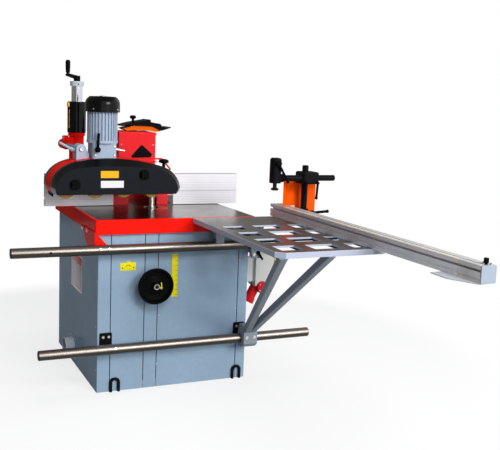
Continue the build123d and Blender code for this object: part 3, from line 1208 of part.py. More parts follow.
with BuildPart() as feeder_column:
    rod((COLUMN_X, COLUMN_Y, TABLE_HEIGHT + 10), (COLUMN_X, COLUMN_Y, COLUMN_TOP), COLUMN_R)
    rod((COLUMN_X, COLUMN_Y, COLUMN_TOP), (COLUMN_X, COLUMN_Y, COLUMN_TOP + CAP_H), COLUMN_R + 8)
    chamfer(feeder_column.faces().sort_by(Axis.Z)[-1].edges(), length=3)
    rod(
        (COLUMN_X, COLUMN_Y, COLUMN_TOP - 10), (COLUMN_X, COLUMN_Y, COLUMN_TOP + CAP_H + 5),
        8 + RUN_FIT, mode=Mode.SUBTRACT,
    )
keep(feeder_column, "feeder_column")

with BuildPart() as crank:
    hub_z = COLUMN_TOP + CAP_H + SLIDE_GAP
    grip_x = COLUMN_X - 50
    rod((COLUMN_X, COLUMN_Y, COLUMN_TOP), (COLUMN_X, COLUMN_Y, hub_z + 4), 8)
    rod((COLUMN_X, COLUMN_Y, hub_z), (COLUMN_X, COLUMN_Y, hub_z + 30), 18)
    with BuildSketch(front(COLUMN_Y + 12)) as crank_arm:
        Polygon(
            (COLUMN_X + 12, hub_z + 5), (COLUMN_X + 12, hub_z + 28), (grip_x - 4, hub_z + 42),
            (grip_x - 12, hub_z + 34), (grip_x - 8, hub_z + 26), align=None,
        )
    extrude(amount=24)
    with BuildSketch(upright(grip_x, COLUMN_Y)):
        with BuildLine():
            Polyline((0, hub_z + 32), (8, hub_z + 32), (8, hub_z + 42), (11, hub_z + 45))
            Spline((11, hub_z + 45), (12.5, hub_z + 70), (13, hub_z + 104))
            Polyline((13, hub_z + 104), (9, hub_z + 112), (0, hub_z + 113), (0, hub_z + 32))
        make_face()
    revolve(axis=Axis((grip_x, COLUMN_Y, 0), (0, 0, 1)))
keep(crank, "crank")

with BuildPart() as column_sleeve:
    with BuildSketch(level(SLEEVE_Z[0])):
        with Locations((COLUMN_X, COLUMN_Y)):
            Circle(SLEEVE_R)
            Circle(COLUMN_R + RUN_FIT, mode=Mode.SUBTRACT)
    extrude(amount=SLEEVE_Z[1] - SLEEVE_Z[0])
    chamfer(column_sleeve.faces().sort_by(Axis.Z)[-1].outer_wire().edges(), length=4)
    block(
        COLUMN_X - SLEEVE_R - 5, COLUMN_X - SLEEVE_R + 6, COLUMN_Y - 24, COLUMN_Y,
        SLEEVE_Z[0] - 1, SLEEVE_Z[1] + 1, mode=Mode.SUBTRACT,
    )
keep(column_sleeve, "column_sleeve")

with BuildPart() as feeder_slide:
    rod((COLUMN_X, COLUMN_Y, CLAMP_Z[0]), (COLUMN_X, COLUMN_Y, CLAMP_Z[1]), COLUMN_R + 11)
    rod((COLUMN_X, COLUMN_Y, CLAMP_Z[1] - 18), (COLUMN_X, COLUMN_Y, CLAMP_Z[1]), COLUMN_R + 17)
    rod((ARM_X, COLUMN_Y - 46, ARM_Z), (ARM_X, COLUMN_Y + 46, ARM_Z), ARM_R + 13)
    block(ARM_X, COLUMN_X, COLUMN_Y - 36, COLUMN_Y + 36, ARM_Z - 27, ARM_Z + 27)
    block(ARM_X - 10, ARM_X + 14, COLUMN_Y - 34, COLUMN_Y - 6, ARM_Z + 10, ARM_Z + 48)
    block(ARM_X + 10, COLUMN_X, COLUMN_Y - 34, COLUMN_Y - 6, ARM_Z + 10, ARM_Z + 40)
    rod(
        (COLUMN_X, COLUMN_Y, CLAMP_Z[0] - 5), (COLUMN_X, COLUMN_Y, CLAMP_Z[1] + 5),
        COLUMN_R + RUN_FIT, mode=Mode.SUBTRACT,
    )
    rod(
        (ARM_X, COLUMN_Y - 60, ARM_Z), (ARM_X, COLUMN_Y + 60, ARM_Z), ARM_R + RUN_FIT, mode=Mode.SUBTRACT,
    )
keep(feeder_slide, "feeder_slide")

with BuildPart() as feeder_arm:
    rod((ARM_X, ARM_Y[0], ARM_Z), (ARM_X, ARM_Y[1], ARM_Z), ARM_R)
    chamfer(feeder_arm.edges().filter_by(GeomType.CIRCLE), length=2)
keep(feeder_arm, "feeder_arm")

# Head of the power feeder

with BuildPart() as feeder_case:
    extrude(arch_face(front(CASE_BACK), ARCH), amount=CASE_BACK - CASE_FRONT)
    inner_case = arch_face(front(CASE_BACK - 8), ARCH, 8, -6)
    extrude(inner_case, amount=CASE_BACK - CASE_FRONT - 16, mode=Mode.SUBTRACT)
    with BuildSketch(front(CASE_FRONT)):
        with Locations(*[(x, FEED_ROLLER_Z) for x in FEED_ROLLER_X]):
            Circle(AXLE_R + RUN_FIT)
    extrude(amount=-12, mode=Mode.SUBTRACT)
keep(feeder_case, "feeder_case")

with BuildPart() as feeder_covers:
    extrude(arch_face(front(CASE_FRONT), ARCH), amount=CASE_FRONT - COVER_FULL)
    loft([arch_face(front(COVER_FULL), ARCH), arch_face(front(COVER_FRONT), FACE)])
    inner_full = arch_face(front(COVER_FULL), ARCH, COVER_WALL, 10)
    inner_face = arch_face(front(COVER_FRONT + COVER_WALL), FACE, COVER_WALL, 10)
    extrude(inner_full, amount=COVER_FULL - CASE_FRONT, mode=Mode.SUBTRACT)
    loft([inner_full, inner_face], mode=Mode.SUBTRACT)
    extrude(arch_face(front(REAR_COVER_BACK), ARCH, 3), amount=REAR_COVER_BACK - CASE_BACK)
    inner_rear = arch_face(front(REAR_COVER_BACK - COVER_WALL), ARCH, 3 + COVER_WALL, -COVER_WALL)
    extrude(inner_rear, amount=REAR_COVER_BACK - COVER_WALL - CASE_BACK, mode=Mode.SUBTRACT)
keep(feeder_covers, "feeder_covers")

with BuildPart() as cover_knobs:
    for across, height in COVER_KNOBS:
        knob_x = HEAD_X0 + across
        knob_height = HEAD_BOTTOM + height
        with BuildSketch(front(COVER_FRONT)):
            with Locations((knob_x, knob_height)):
                Circle(KNOB_COLLAR_R)
        extrude(amount=4)
        with BuildSketch(front(COVER_FRONT - 4)):
            with Locations((knob_x, knob_height)):
                Circle(9)
        extrude(amount=3)
        with BuildSketch(front(COVER_FRONT - 7)):
            with Locations((knob_x, knob_height)):
                Circle(17)
                with PolarLocations(16, 4, start_angle=45):
                    Circle(9)
        extrude(amount=13)
keep(cover_knobs, "cover_knobs")

with BuildPart() as arm_knuckle:
    with BuildSketch(front(ARM_Y[0] - 12)):
        with BuildLine():
            knuckle_low = HEAD_BOTTOM + 128
            Polyline(
                (ARM_X - 26, knuckle_low), (ARM_X + 41, knuckle_low), (ARM_X + 41, ARM_Z - 27), (ARM_X + 25, ARM_Z),
            )
            ThreePointArc((ARM_X + 25, ARM_Z), (ARM_X, ARM_Z + 25), (ARM_X - 25, ARM_Z))
            Line((ARM_X - 25, ARM_Z), (ARM_X - 26, knuckle_low))
        make_face()
    extrude(amount=ARM_Y[0] - 12 - CASE_BACK - 4)
    rod((ARM_X, ARM_Y[0], ARM_Z), (ARM_X, CASE_BACK + 5, ARM_Z), ARM_R + RUN_FIT, mode=Mode.SUBTRACT)
    extrude(arch_face(front(CASE_BACK + 5), ARCH), amount=140, mode=Mode.SUBTRACT)
keep(arm_knuckle, "arm_knuckle")

with BuildPart() as feeder_motor:
    with BuildSketch(level(GEARBOX_Z - 30)):
        with Locations((FEED_MOTOR_X, FEED_MOTOR_Y)):
            RectangleRounded(GEARBOX, GEARBOX, 16)
    extrude(amount=STATOR_Z - GEARBOX_Z + 18)
    with BuildSketch(level(STATOR_Z - 12)):
        with Locations((FEED_MOTOR_X, FEED_MOTOR_Y)):
            Circle(STATOR_R + 2)
    extrude(amount=14)
    with BuildSketch(level(STATOR_Z)):
        with Locations((FEED_MOTOR_X, FEED_MOTOR_Y)):
            Circle(STATOR_R - 9)
            with PolarLocations(STATOR_R - 7, 28):
                Rectangle(14, 4)
    extrude(amount=FAN_COVER_Z - STATOR_Z)
    extrude(arch_face(front(CASE_BACK + 10), ARCH), amount=160, mode=Mode.SUBTRACT)
keep(feeder_motor, "feeder_motor")

with BuildPart() as fan_cover:
    with BuildSketch(upright(FEED_MOTOR_X, FEED_MOTOR_Y)):
        with BuildLine():
            Polyline((0, FAN_COVER_Z), (FAN_COVER_R, FAN_COVER_Z), (FAN_COVER_R, FAN_COVER_Z + 34))
            Spline(
                (FAN_COVER_R, FAN_COVER_Z + 34), (FAN_COVER_R - 4, FAN_COVER_Z + 58),
                (FAN_COVER_R - 22, FAN_COVER_TOP - 2),
            )
            Polyline((FAN_COVER_R - 22, FAN_COVER_TOP - 2), (0, FAN_COVER_TOP), (0, FAN_COVER_Z))
        make_face()
    revolve(axis=Axis((FEED_MOTOR_X, FEED_MOTOR_Y, 0), (0, 0, 1)))
keep(fan_cover, "fan_cover")

with BuildPart() as speed_lever:
    lever_x = FEED_MOTOR_X - GEARBOX / 2 + 20
    lever_y = FEED_MOTOR_Y - GEARBOX / 2
    lever_z = GEARBOX_Z + 46
    rod((lever_x, lever_y, lever_z), (lever_x, lever_y - 12, lever_z), 11)
    with Locations((lever_x, lever_y - 18, lever_z)):
        Sphere(15)
    rod((lever_x, lever_y - 18, lever_z), (lever_x + 2, lever_y - 24, lever_z + 83), 7)
keep(speed_lever, "speed_lever")

for number, roller_x in enumerate(FEED_ROLLER_X, start=1):
    with BuildPart() as feed_roller:
        with BuildSketch(Plane(origin=(roller_x, FEED_ROLLER_Y, FEED_ROLLER_Z), z_dir=(0, -1, 0))):
            Circle(FEED_ROLLER_R)
        extrude(amount=FEED_ROLLER_W / 2, both=True)
        fillet(feed_roller.edges(), radius=6)
        rod(
            (roller_x, FEED_ROLLER_Y, FEED_ROLLER_Z), (roller_x, CASE_FRONT + 10, FEED_ROLLER_Z), AXLE_R,
        )
    keep(feed_roller, f"feed_roller_{number}")
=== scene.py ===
"""Looks of a spindle moulder with a sliding table, a mitre fence and a power feeder.

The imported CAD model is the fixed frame. The paint shop dresses its pieces, and each
sub-assembly below adds the small parts that ride on them. Small parts are laid out in
millimetres; finishes, camera and lamps are in metres. A field whose name ends in axes,
such as front_y or plate_xz, holds places along them.
"""

import logging
import math
from dataclasses import dataclass, replace
from enum import Enum
from functools import reduce
from itertools import product
from typing import Iterable, Optional, Sequence, Union

import bmesh
import bpy
from mathutils import Matrix, Vector


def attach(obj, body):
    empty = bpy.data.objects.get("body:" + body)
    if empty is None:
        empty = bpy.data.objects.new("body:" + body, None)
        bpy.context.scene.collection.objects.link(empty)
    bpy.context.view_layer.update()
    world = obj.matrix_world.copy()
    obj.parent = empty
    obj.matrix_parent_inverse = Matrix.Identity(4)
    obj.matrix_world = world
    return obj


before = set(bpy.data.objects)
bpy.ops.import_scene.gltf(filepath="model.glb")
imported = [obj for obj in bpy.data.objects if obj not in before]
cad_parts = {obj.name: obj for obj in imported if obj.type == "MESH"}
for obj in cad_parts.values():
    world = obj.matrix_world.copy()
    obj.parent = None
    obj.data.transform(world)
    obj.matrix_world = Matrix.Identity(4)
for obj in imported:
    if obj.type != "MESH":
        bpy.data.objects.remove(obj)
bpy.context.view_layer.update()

LOG = logging.getLogger("moulder")
IMAGE_WIDTH = 500.0
SENSOR_WIDTH = 36.0
MILLIMETRE = 0.001
WELD = 0.001
WHOLE_TURN = 360.0
SHARP_ANGLE = 38.0

# Values that all finishes share: metres, roughness, and patches to a metre.
RULE_SHIFT = 10.0
RELIEF_DEPTH = 0.0006
COAT_ROUGHNESS = 0.12
SMEAR_SCALE = 7.0
CHIP_SCALE = 160.0
SPECK_SCALE = 26.0
FINE_TO_BROAD = 14.0

Colour = tuple[float, float, float]
Spot = tuple[float, float, float]
Pair = tuple[float, float]
Row = tuple[float, ...]
Seat = tuple[Spot, Spot]
Profile = Sequence[Pair]
Limit = tuple[str, str, float]
Region = tuple[Limit, ...]
Node = bpy.types.Node
Socket = bpy.types.NodeSocket
Tree = bpy.types.NodeTree

UP = (0.0, 0.0, 1.0)
DOWN = (0.0, 0.0, -1.0)
LEFT = (-1.0, 0.0, 0.0)
RIGHT = (1.0, 0.0, 0.0)
FRONT = (0.0, -1.0, 0.0)
BACK = (0.0, 1.0, 0.0)
WHITE = (1.0, 1.0, 1.0)


def shade(*display: int) -> Colour:
    """Return a display colour, from 0 to 255, as the linear colour that shaders use."""
    parts = (value / 255.0 for value in display)
    return tuple(v / 12.92 if v <= 0.04045 else ((v + 0.055) / 1.055) ** 2.4 for v in parts)


def over(axis: str, limit: float) -> Limit:
    """Return the limit that holds past a place on an axis, in metres."""
    return axis, "GREATER_THAN", limit


def under(axis: str, limit: float) -> Limit:
    """Return the limit that holds short of a place on an axis, in metres."""
    return axis, "LESS_THAN", limit


class Graph:
    """Short calls that add and join the nodes of one shader tree."""

    def __init__(self, tree: Tree) -> None:
        """Hold the tree and clear it."""
        self.tree = tree
        tree.nodes.clear()

    def add(self, kind: str, **settings: object) -> Node:
        """Add a node.

        Args:
            kind: The node's type name without the ShaderNode prefix.
            settings: Attributes to set on the node.

        Returns:
            The new node.
        """
        prefix = "" if kind.startswith("NodeGroup") else "ShaderNode"
        node = self.tree.nodes.new(prefix + kind)
        for key, value in settings.items():
            setattr(node, key, value)
        return node

    def feed(self, socket: Socket, value: object) -> None:
        """Give an input a plain value, or join an output to it.

        Args:
            socket: The input.
            value: The number, colour or output for it.
        """
        if isinstance(value, Socket):
            self.tree.links.new(value, socket)
        elif isinstance(value, tuple) and socket.type == "RGBA":
            socket.default_value = (*value, 1.0)
        else:
            socket.default_value = value

    def wire(self, node: Node, *values: object, **named: object) -> list[Socket]:
        """Feed a node's inputs.

        Args:
            node: The node.
            values: Values for the inputs that it shows, in their order.
            named: Values for inputs by their names, with _ for a space.

        Returns:
            The outputs that the node shows.
        """
        for socket, value in zip([s for s in node.inputs if s.enabled], values):
            self.feed(socket, value)
        for name, value in named.items():
            self.feed(node.inputs[name.replace("_", " ")], value)
        return [s for s in node.outputs if s.enabled]

    def math(self, operation: str, *values: object, clamp: bool = False) -> Socket:
        """Return the output of a new Math node with these inputs."""
        return self.wire(self.add("Math", operation=operation, use_clamp=clamp), *values)[0]

    def vector(self, operation: str, *values: object) -> Socket:
        """Return the output of a new Vector Math node with these inputs."""
        return self.wire(self.add("VectorMath", operation=operation), *values)[0]

    def times(self, *values: object) -> Union[Socket, float]:
        """Return the product of some values."""
        return reduce(lambda first, second: self.math("MULTIPLY", first, second), values)

    def most(self, *values: object) -> Socket:
        """Return the largest of some values."""
        return reduce(lambda first, second: self.math("MAXIMUM", first, second), values)

    def ramp(self, value: object, start: float, gain: float) -> Socket:
        """Return a value's distance past a start times a gain, kept from 0 to 1."""
        return self.math("MULTIPLY", self.math("SUBTRACT", value, start), gain, clamp=True)

    def mix(self, factor: object, first: object, second: object, kind: str = "FLOAT") -> Socket:
        """Return a mix of two numbers, with the second at a factor of 1."""
        return self.wire(self.add("Mix", data_type=kind), factor, first, second)[0]

    def tint(self, factor: object, first: object, second: object) -> Socket:
        """Return a mix of two colours, with the second at a factor of 1."""
        return self.mix(factor, first, second, "RGBA")

    def blend(self, factor: object, first: Socket, second: Socket) -> Socket:
        """Return a mix of two shaders, with the second at a factor of 1."""
        return self.wire(self.add("MixShader"), factor, first, second)[0]

    def light(self, kind: str, colour: Colour, strength: float = 1.0) -> Socket:
        """Return the output of a new Emission or Background shader."""
        return self.wire(self.add(kind), Color=colour, Strength=strength)[0]

    def place(self, kind: str = "Object") -> Socket:
        """Return the object coordinates, which are metres in the shared frame, or the Normal."""
        return self.add("TexCoord").outputs[kind]

    def axis(self, name: str, kind: str = "Object") -> Socket:
        """Return the X, Y or Z of the object coordinates or of the Normal."""
        return self.wire(self.add("SeparateXYZ"), self.place(kind))["XYZ".index(name)]

    def noise(self, scale: object, detail: float, at: Optional[Socket] = None) -> Socket:
        """Return the value of a new Noise node, at the object coordinates or at others."""
        node = self.add("TexNoise")
        return self.wire(node, Vector=at or self.place(), Scale=scale, Detail=detail)[0]

    def inside(self, region: Region) -> Union[Socket, float]:
        """Return 1 where every limit of a region holds, and 0 elsewhere."""
        tests = (self.math(test, self.axis(name), limit) for name, test, limit in region)
        return self.times(1.0, *tests)

    def show(self, shader: Socket, target: str = "OutputMaterial") -> None:
        """Join a shader to a new output node."""
        self.wire(self.add(target), Surface=shader)


def blank_paint(name: str) -> tuple[bpy.types.Material, Graph]:
    """Make a material with an empty tree.

    Args:
        name: The material's name.

    Returns:
        The material and its graph.
    """
    paint = bpy.data.materials.new(name)
    paint.use_nodes = True
    return paint, Graph(paint.node_tree)


class Effects:
    """The shared surface effects, each a node group that is built once."""

    def __init__(self) -> None:
        """Build the groups."""
        self.trees: dict[str, Tree] = {}
        for build in (self.tone, self.edge, self.grain, self.gloss, self.dust):
            build()

    def start(self, name: str, inputs: str, outputs: str) -> tuple:
        """Make an empty group with its sockets.

        Args:
            name: The group's name.
            inputs: Names and types of the inputs, such as "Drift:Float Scale:Float".
            outputs: Names and types of the outputs, written the same way.

        Returns:
            The group's graph, its given inputs and the inputs of its output node.
        """
        tree = self.trees[name] = bpy.data.node_groups.new(name, "ShaderNodeTree")
        for side, sockets in (("INPUT", inputs), ("OUTPUT", outputs)):
            for label, kind in (pair.split(":") for pair in sockets.split()):
                tree.interface.new_socket(label, in_out=side, socket_type="NodeSocket" + kind)
        g = Graph(tree)
        return g, g.add("NodeGroupInput").outputs, g.add("NodeGroupOutput").inputs

    def use(self, name: str, g: Graph, **inputs: object) -> list[Socket]:
        """Return the outputs of an effect that is placed in a graph with these inputs."""
        return g.wire(g.add("Group", node_tree=self.trees[name]), **inputs)

    def tone(self) -> None:
        """Build the slow change of tone over a painted or cast surface."""
        sockets = "Colour:Color Drift:Float Scale:Float"
        g, given, out = self.start("tone_drift", sockets, "Colour:Color")
        broad = g.noise(given["Scale"], 5.0)
        fine = g.noise(g.times(given["Scale"], FINE_TO_BROAD), 3.0)
        both = g.math("ADD", g.times(broad, 1.4), g.times(fine, 0.6))
        swing = g.times(g.math("SUBTRACT", both, 1.0), given["Drift"])
        shift = g.add("HueSaturation")
        turned, = g.wire(shift, Value=g.math("ADD", swing, 1.0), Color=given["Colour"])
        g.feed(out["Colour"], turned)

    def edge(self) -> None:
        """Build the rounded edge, with a mask of where it is worn."""
        sockets = "Radius:Float Wear:Float"
        g, given, out = self.start("soft_edge", sockets, "Mask:Float Normal:Vector")
        rounded, = g.wire(g.add("Bevel", samples=4), Radius=given["Radius"])
        plain = g.add("NewGeometry").outputs["Normal"]
        bend = g.ramp(g.vector("DOT_PRODUCT", rounded, plain), 1.0, -5.0)
        chips = g.ramp(g.noise(CHIP_SCALE, 6.0), 0.42, 5.0)
        g.feed(out["Mask"], g.times(bend, chips, given["Wear"]))
        g.feed(out["Normal"], rounded)

    def grain(self) -> None:
        """Build the fine relief of paint, brushing, casting or moulding."""
        g, given, out = self.start("surface_grain", "Pitch:Vector", "Height:Float")
        spread = g.vector("MULTIPLY", g.place(), given["Pitch"])
        g.feed(out["Height"], g.noise(1.0, 3.0, spread))

    def gloss(self) -> None:
        """Build the change of gloss that handling and wiping leave."""
        sockets = "Base:Float Spread:Float Scale:Float"
        g, given, out = self.start("gloss_drift", sockets, "Roughness:Float")
        smear = g.math("SUBTRACT", g.noise(given["Scale"], 6.0), 0.5)
        swing = g.times(smear, given["Spread"])
        g.feed(out["Roughness"], g.math("ADD", given["Base"], swing, clamp=True))

    def dust(self) -> None:
        """Build the mask of fine dust that lies on faces that look up."""
        g, given, out = self.start("settled_dust", "Amount:Float", "Mask:Float")
        level = g.ramp(g.axis("Z", "Normal"), 0.55, 2.2)
        specks = g.ramp(g.noise(SPECK_SCALE, 8.0), 0.35, 2.0)
        g.feed(out["Mask"], g.times(level, specks, given["Amount"]))


class Grain(Enum):
    """Fine relief by how many bumps it has to a metre along each axis."""

    PAINT = (520.0, 520.0, 520.0)
    CAST = (210.0, 210.0, 210.0)
    MOULDED = (1300.0, 1300.0, 1300.0)
    RUBBER = (420.0, 420.0, 420.0)
    ALONG_X = (14.0, 1500.0, 1500.0)
    ALONG_Y = (1500.0, 14.0, 1500.0)
    AROUND_Z = (60.0, 60.0, 2400.0)


class Faces(Enum):
    """Faces that show a second finish: an axis of the normal, and a ramp's start and gain."""

    ALL = ("Z", -2.0, 1.0)
    TOP = ("Z", 0.9, 1.0e6)
    OPERATOR = ("Y", -0.80, -7.0)
    # Faces that look down, which the rails darken as painted shade and painted reflection of a dark
    # floor.
    PAINTED_DARK_UNDER = ("Z", 0.08, -9.0)


@dataclass(frozen=True)
class Mark:
    """A patch of plain colour on a finish, or a row of rules.

    A rule is the axis of the row, the metres between rules, and their width as a share of that.
    """

    colour: Colour
    region: Region = ()
    rule: Optional[tuple[str, float, float]] = None

    def mask(self, g: Graph) -> Union[Socket, float]:
        """Lay out the mask of the mark.

        Args:
            g: Graph of the material.

        Returns:
            The output that is 1 on the mark.
        """
        patch = g.inside(self.region)
        if self.rule is None:
            return patch
        axis, pitch, width = self.rule
        step = g.math("FRACT", g.math("DIVIDE", g.math("ADD", g.axis(axis), RULE_SHIFT), pitch))
        return g.times(g.math("LESS_THAN", step, width), patch)


@dataclass(frozen=True)
class Surface:
    """The outputs and values that one finish gives to a shader."""

    colour: Socket
    roughness: Socket
    metallic: Union[Socket, float]
    height: Socket
    bump: float


@dataclass(frozen=True)
class Finish:
    """A procedural finish: its colour, gloss, relief and wear.

    The roughness wanders by spread and the tone by drift, in drift_scale patches to a metre.
    Edges have a radius in metres, and show the colour worn where they are worn. A second
    finish shows on some faces in a region, by its colour, gloss and relief alone.
    """

    name: str
    colour: Colour
    rough: float
    spread: float = 0.12
    metal: float = 0.0
    drift: float = 0.10
    drift_scale: float = 2.5
    grain: Grain = Grain.PAINT
    bump: float = 0.08
    coat: float = 0.0
    wear: float = 0.25
    worn: Colour = (0.45, 0.44, 0.43)
    edge: float = 0.0014
    dust: float = 0.0
    specular: float = 0.4
    marks: tuple[Mark, ...] = ()
    second: Optional["Finish"] = None
    faces: Faces = Faces.ALL
    region: Region = ()

    def recast(self, name: str, *display: int, **changes: object) -> "Finish":
        """Return a copy with another name and other changes, and the display colour if given."""
        return replace(self, name=name, colour=shade(*display) or self.colour, **changes)

    def surface(self, g: Graph, effects: Effects) -> Surface:
        """Lay out the nodes of this finish alone.

        Args:
            g: Graph of the material.
            effects: The shared node groups.

        Returns:
            Its surface.
        """
        spots = dict(Colour=self.colour, Drift=self.drift, Scale=self.drift_scale)
        tone, = effects.use("tone_drift", g, **spots)
        if self.dust > 0.0:
            tone = g.tint(effects.use("settled_dust", g, Amount=self.dust)[0], tone, DUST_COLOUR)
        for mark in self.marks:
            tone = g.tint(mark.mask(g), tone, mark.colour)
        smears = dict(Base=self.rough, Spread=self.spread, Scale=SMEAR_SCALE)
        gloss, = effects.use("gloss_drift", g, **smears)
        relief, = effects.use("surface_grain", g, Pitch=self.grain.value)
        return Surface(tone, gloss, self.metal, relief, self.bump)

    def seen(self, g: Graph, effects: Effects) -> Surface:
        """Lay out the nodes of this finish, mixed with the second where it has one.

        Args:
            g: Graph of the material.
            effects: The shared node groups.

        Returns:
            The surface that the whole piece shows.
        """
        first = self.surface(g, effects)
        if self.second is None:
            return first
        other = self.second.surface(g, effects)
        name, start, gain = self.faces.value
        share = g.times(g.ramp(g.axis(name, "Normal"), start, gain), g.inside(self.region))
        return Surface(
            g.tint(share, first.colour, other.colour),
            g.mix(share, first.roughness, other.roughness),
            g.mix(share, first.metallic, other.metallic),
            g.mix(share, first.height, other.height),
            max(first.bump, other.bump),
        )

    def material(self, effects: Effects) -> bpy.types.Material:
        """Build the material, with its edges rounded and worn.

        Args:
            effects: The shared node groups.

        Returns:
            The finished material.
        """
        made, g = blank_paint(self.name)
        seen = self.seen(g, effects)
        worn, rounded = effects.use("soft_edge", g, Radius=self.edge, Wear=self.wear)
        normal, = g.wire(
            g.add("Bump"), Strength=seen.bump, Distance=RELIEF_DEPTH, Height=seen.height,
            Normal=rounded,
        )
        shader, = g.wire(
            g.add("BsdfPrincipled"), Base_Color=g.tint(worn, seen.colour, self.worn),
            Roughness=seen.roughness, Metallic=seen.metallic, Normal=normal,
            Coat_Weight=self.coat, Coat_Roughness=COAT_ROUGHNESS, Specular_IOR_Level=self.specular,
        )
        g.show(shader)
        made.diffuse_color = (*self.colour, 1.0)
        return made


def rules(
    axis: str, pitch: float, ink: Colour, short: Region = (), long: Region = (),
) -> tuple[Mark, Mark]:
    """Return the short rules of a scale and the long ones, which stand at each tenth place."""
    return Mark(ink, short, (axis, pitch, 0.16)), Mark(ink, long, (axis, pitch * 10.0, 0.07))


DUST_COLOUR = shade(196, 182, 158)
RULE_BLACK = (0.02, 0.02, 0.02)
ABOVE_TABLE = (over("Z", 0.8695),)

CABINET_GREY = Finish(
    "cabinet_grey", shade(146, 170, 192), 0.44, 0.16, drift=0.24, drift_scale=2.4, coat=0.12,
    dust=0.03, specular=0.0,
)
# The spigot past the left side is painted lighter than the side sheet: painted light for the front
# light it would catch, not a zinc finish.
CABINET_SIDES = CABINET_GREY.recast(
    "cabinet_sides", second=Finish("spigot_painted_light", shade(200, 210, 220), 0.44),
    region=(under("X", -0.4035),),
)
GROUND_IRON = Finish(
    "ground_iron", shade(166, 159, 153), 0.33, 0.14, metal=1.0, drift=0.16, drift_scale=5.0,
    grain=Grain.ALONG_X, bump=0.10,
)
TABLE_IRON = GROUND_IRON.recast("table_iron", 122, 115, 108, rough=0.25)
WORKTABLE_TOP = Finish(
    "worktable_iron", shade(110, 112, 116), 0.55, grain=Grain.CAST, bump=0.25, specular=0.25,
    second=TABLE_IRON, faces=Faces.TOP, region=ABOVE_TABLE,
)
# Painted shade: inside the sliding table's windows the walls below the top lip are darkened, where
# shade falls in the hollows.
SLIDE_HOLLOWS_PAINTED_SHADE = Mark(shade(52, 57, 64), (
    over("X", 0.100), under("X", 0.560), over("Y", -1.410), under("Y", -0.495), under("Z", 0.8615),
))
SLIDE_TOP = Finish(
    "slide_iron", shade(176, 182, 200), 0.44, wear=0.3, specular=0.10, marks=(SLIDE_HOLLOWS_PAINTED_SHADE,),
    second=GROUND_IRON, faces=Faces.TOP, region=ABOVE_TABLE,
)
MACHINE_RED = Finish(
    "machine_red", shade(243, 24, 13), 0.36, drift=0.08, coat=0.12, worn=(0.30, 0.10, 0.09),
    specular=0.0,
)
# The hood's red is a pinker crimson: partly its own hue, partly a painted sheen of reflected light.
HOOD_RED_AND_SHEEN = MACHINE_RED.recast("hood_red_and_sheen", 226, 42, 48, drift=0.10)
SKIRT_RED = MACHINE_RED.recast(
    "skirt_red", second=TABLE_IRON, faces=Faces.TOP, region=(over("X", 0.406), over("Z", 0.80)),
)
# The rails' second finish darkens the faces that look down: painted shade and painted reflection of
# a dark floor, not a colour of the steel.
TUBE_STEEL = Finish(
    "tube_steel", shade(146, 138, 131), 0.38, 0.06, metal=1.0, drift=0.16, drift_scale=9.0,
    grain=Grain.ALONG_X, bump=0.02, wear=0.1, worn=(0.5, 0.49, 0.47), faces=Faces.PAINTED_DARK_UNDER,
    second=Finish("tube_painted_dark_reflection", shade(66, 61, 57), 0.40, 0.06, metal=1.0),
)
COLUMN_CHROME = Finish(
    "column_chrome", shade(216, 219, 225), 0.10, 0.08, metal=1.0, drift=0.06,
    grain=Grain.AROUND_Z, bump=0.02, wear=0.0, region=(over("Z", 1.5042),),
    second=Finish("column_cap", shade(186, 194, 206), 0.42, drift=0.06),
)
BRIGHT_STEEL = Finish(
    "bright_steel", shade(190, 187, 182), 0.22, 0.14, metal=1.0, drift=0.12, drift_scale=12.0,
    grain=Grain.AROUND_Z, bump=0.06, wear=0.15, worn=(0.8, 0.79, 0.77), edge=0.0008,
)
RING_STEEL = BRIGHT_STEEL.recast(
    "ring_steel", 206, 198, 168, rough=0.24, drift=0.14, bump=0.05, wear=0.1,
    worn=(0.8, 0.79, 0.72),
)
ZINC_SCREW = Finish(
    "zinc_screw", shade(206, 207, 204), 0.30, 0.18, metal=1.0, drift=0.18, drift_scale=60.0,
    grain=Grain.MOULDED, bump=0.05, wear=0.0, edge=0.0005,
)
INNER_IRON = Finish(
    "inner_iron", shade(88, 92, 96), 0.55, drift=0.18, drift_scale=6.0, grain=Grain.CAST,
    bump=0.30, dust=0.15, specular=0.25,
)
BLACK_STEEL = Finish(
    "black_steel", shade(16, 16, 18), 0.42, 0.16, drift=0.22, drift_scale=8.0, bump=0.10,
    wear=0.40, worn=(0.07, 0.07, 0.07), specular=0.05,
)
BLACK_PLASTIC = Finish(
    "black_plastic", shade(9, 9, 10), 0.40, 0.14, drift=0.16, drift_scale=9.0,
    grain=Grain.MOULDED, bump=0.12, wear=0.15, worn=(0.02, 0.02, 0.02), specular=0.03,
)
GLOSS_BLACK = Finish(
    "gloss_black", shade(6, 6, 8), 0.20, 0.10, drift=0.12, bump=0.05, coat=0.20, wear=0.12,
    worn=(0.06, 0.06, 0.06), specular=0.10,
)
COVER_BLACK = Finish(
    "cover_black", shade(10, 10, 11), 0.30, 0.10, drift=0.12, grain=Grain.MOULDED, coat=0.02,
    wear=0.05, worn=(0.04, 0.04, 0.04), edge=0.007, specular=0.06, faces=Faces.OPERATOR,
    second=Finish("face_slate", shade(22, 25, 31), 0.50, 0.10, grain=Grain.MOULDED, bump=0.10),
)
PALE_PLASTIC = Finish(
    "pale_plastic", shade(196, 198, 196), 0.46, drift=0.05, grain=Grain.MOULDED, bump=0.12,
    wear=0.1, worn=(0.60, 0.60, 0.60), edge=0.003, specular=0.25,
)
RED_PLASTIC = Finish(
    "red_plastic", shade(200, 16, 24), 0.36, drift=0.08, grain=Grain.MOULDED, bump=0.10,
    wear=0.1, worn=(0.6, 0.05, 0.05), edge=0.002, specular=0.20,
)
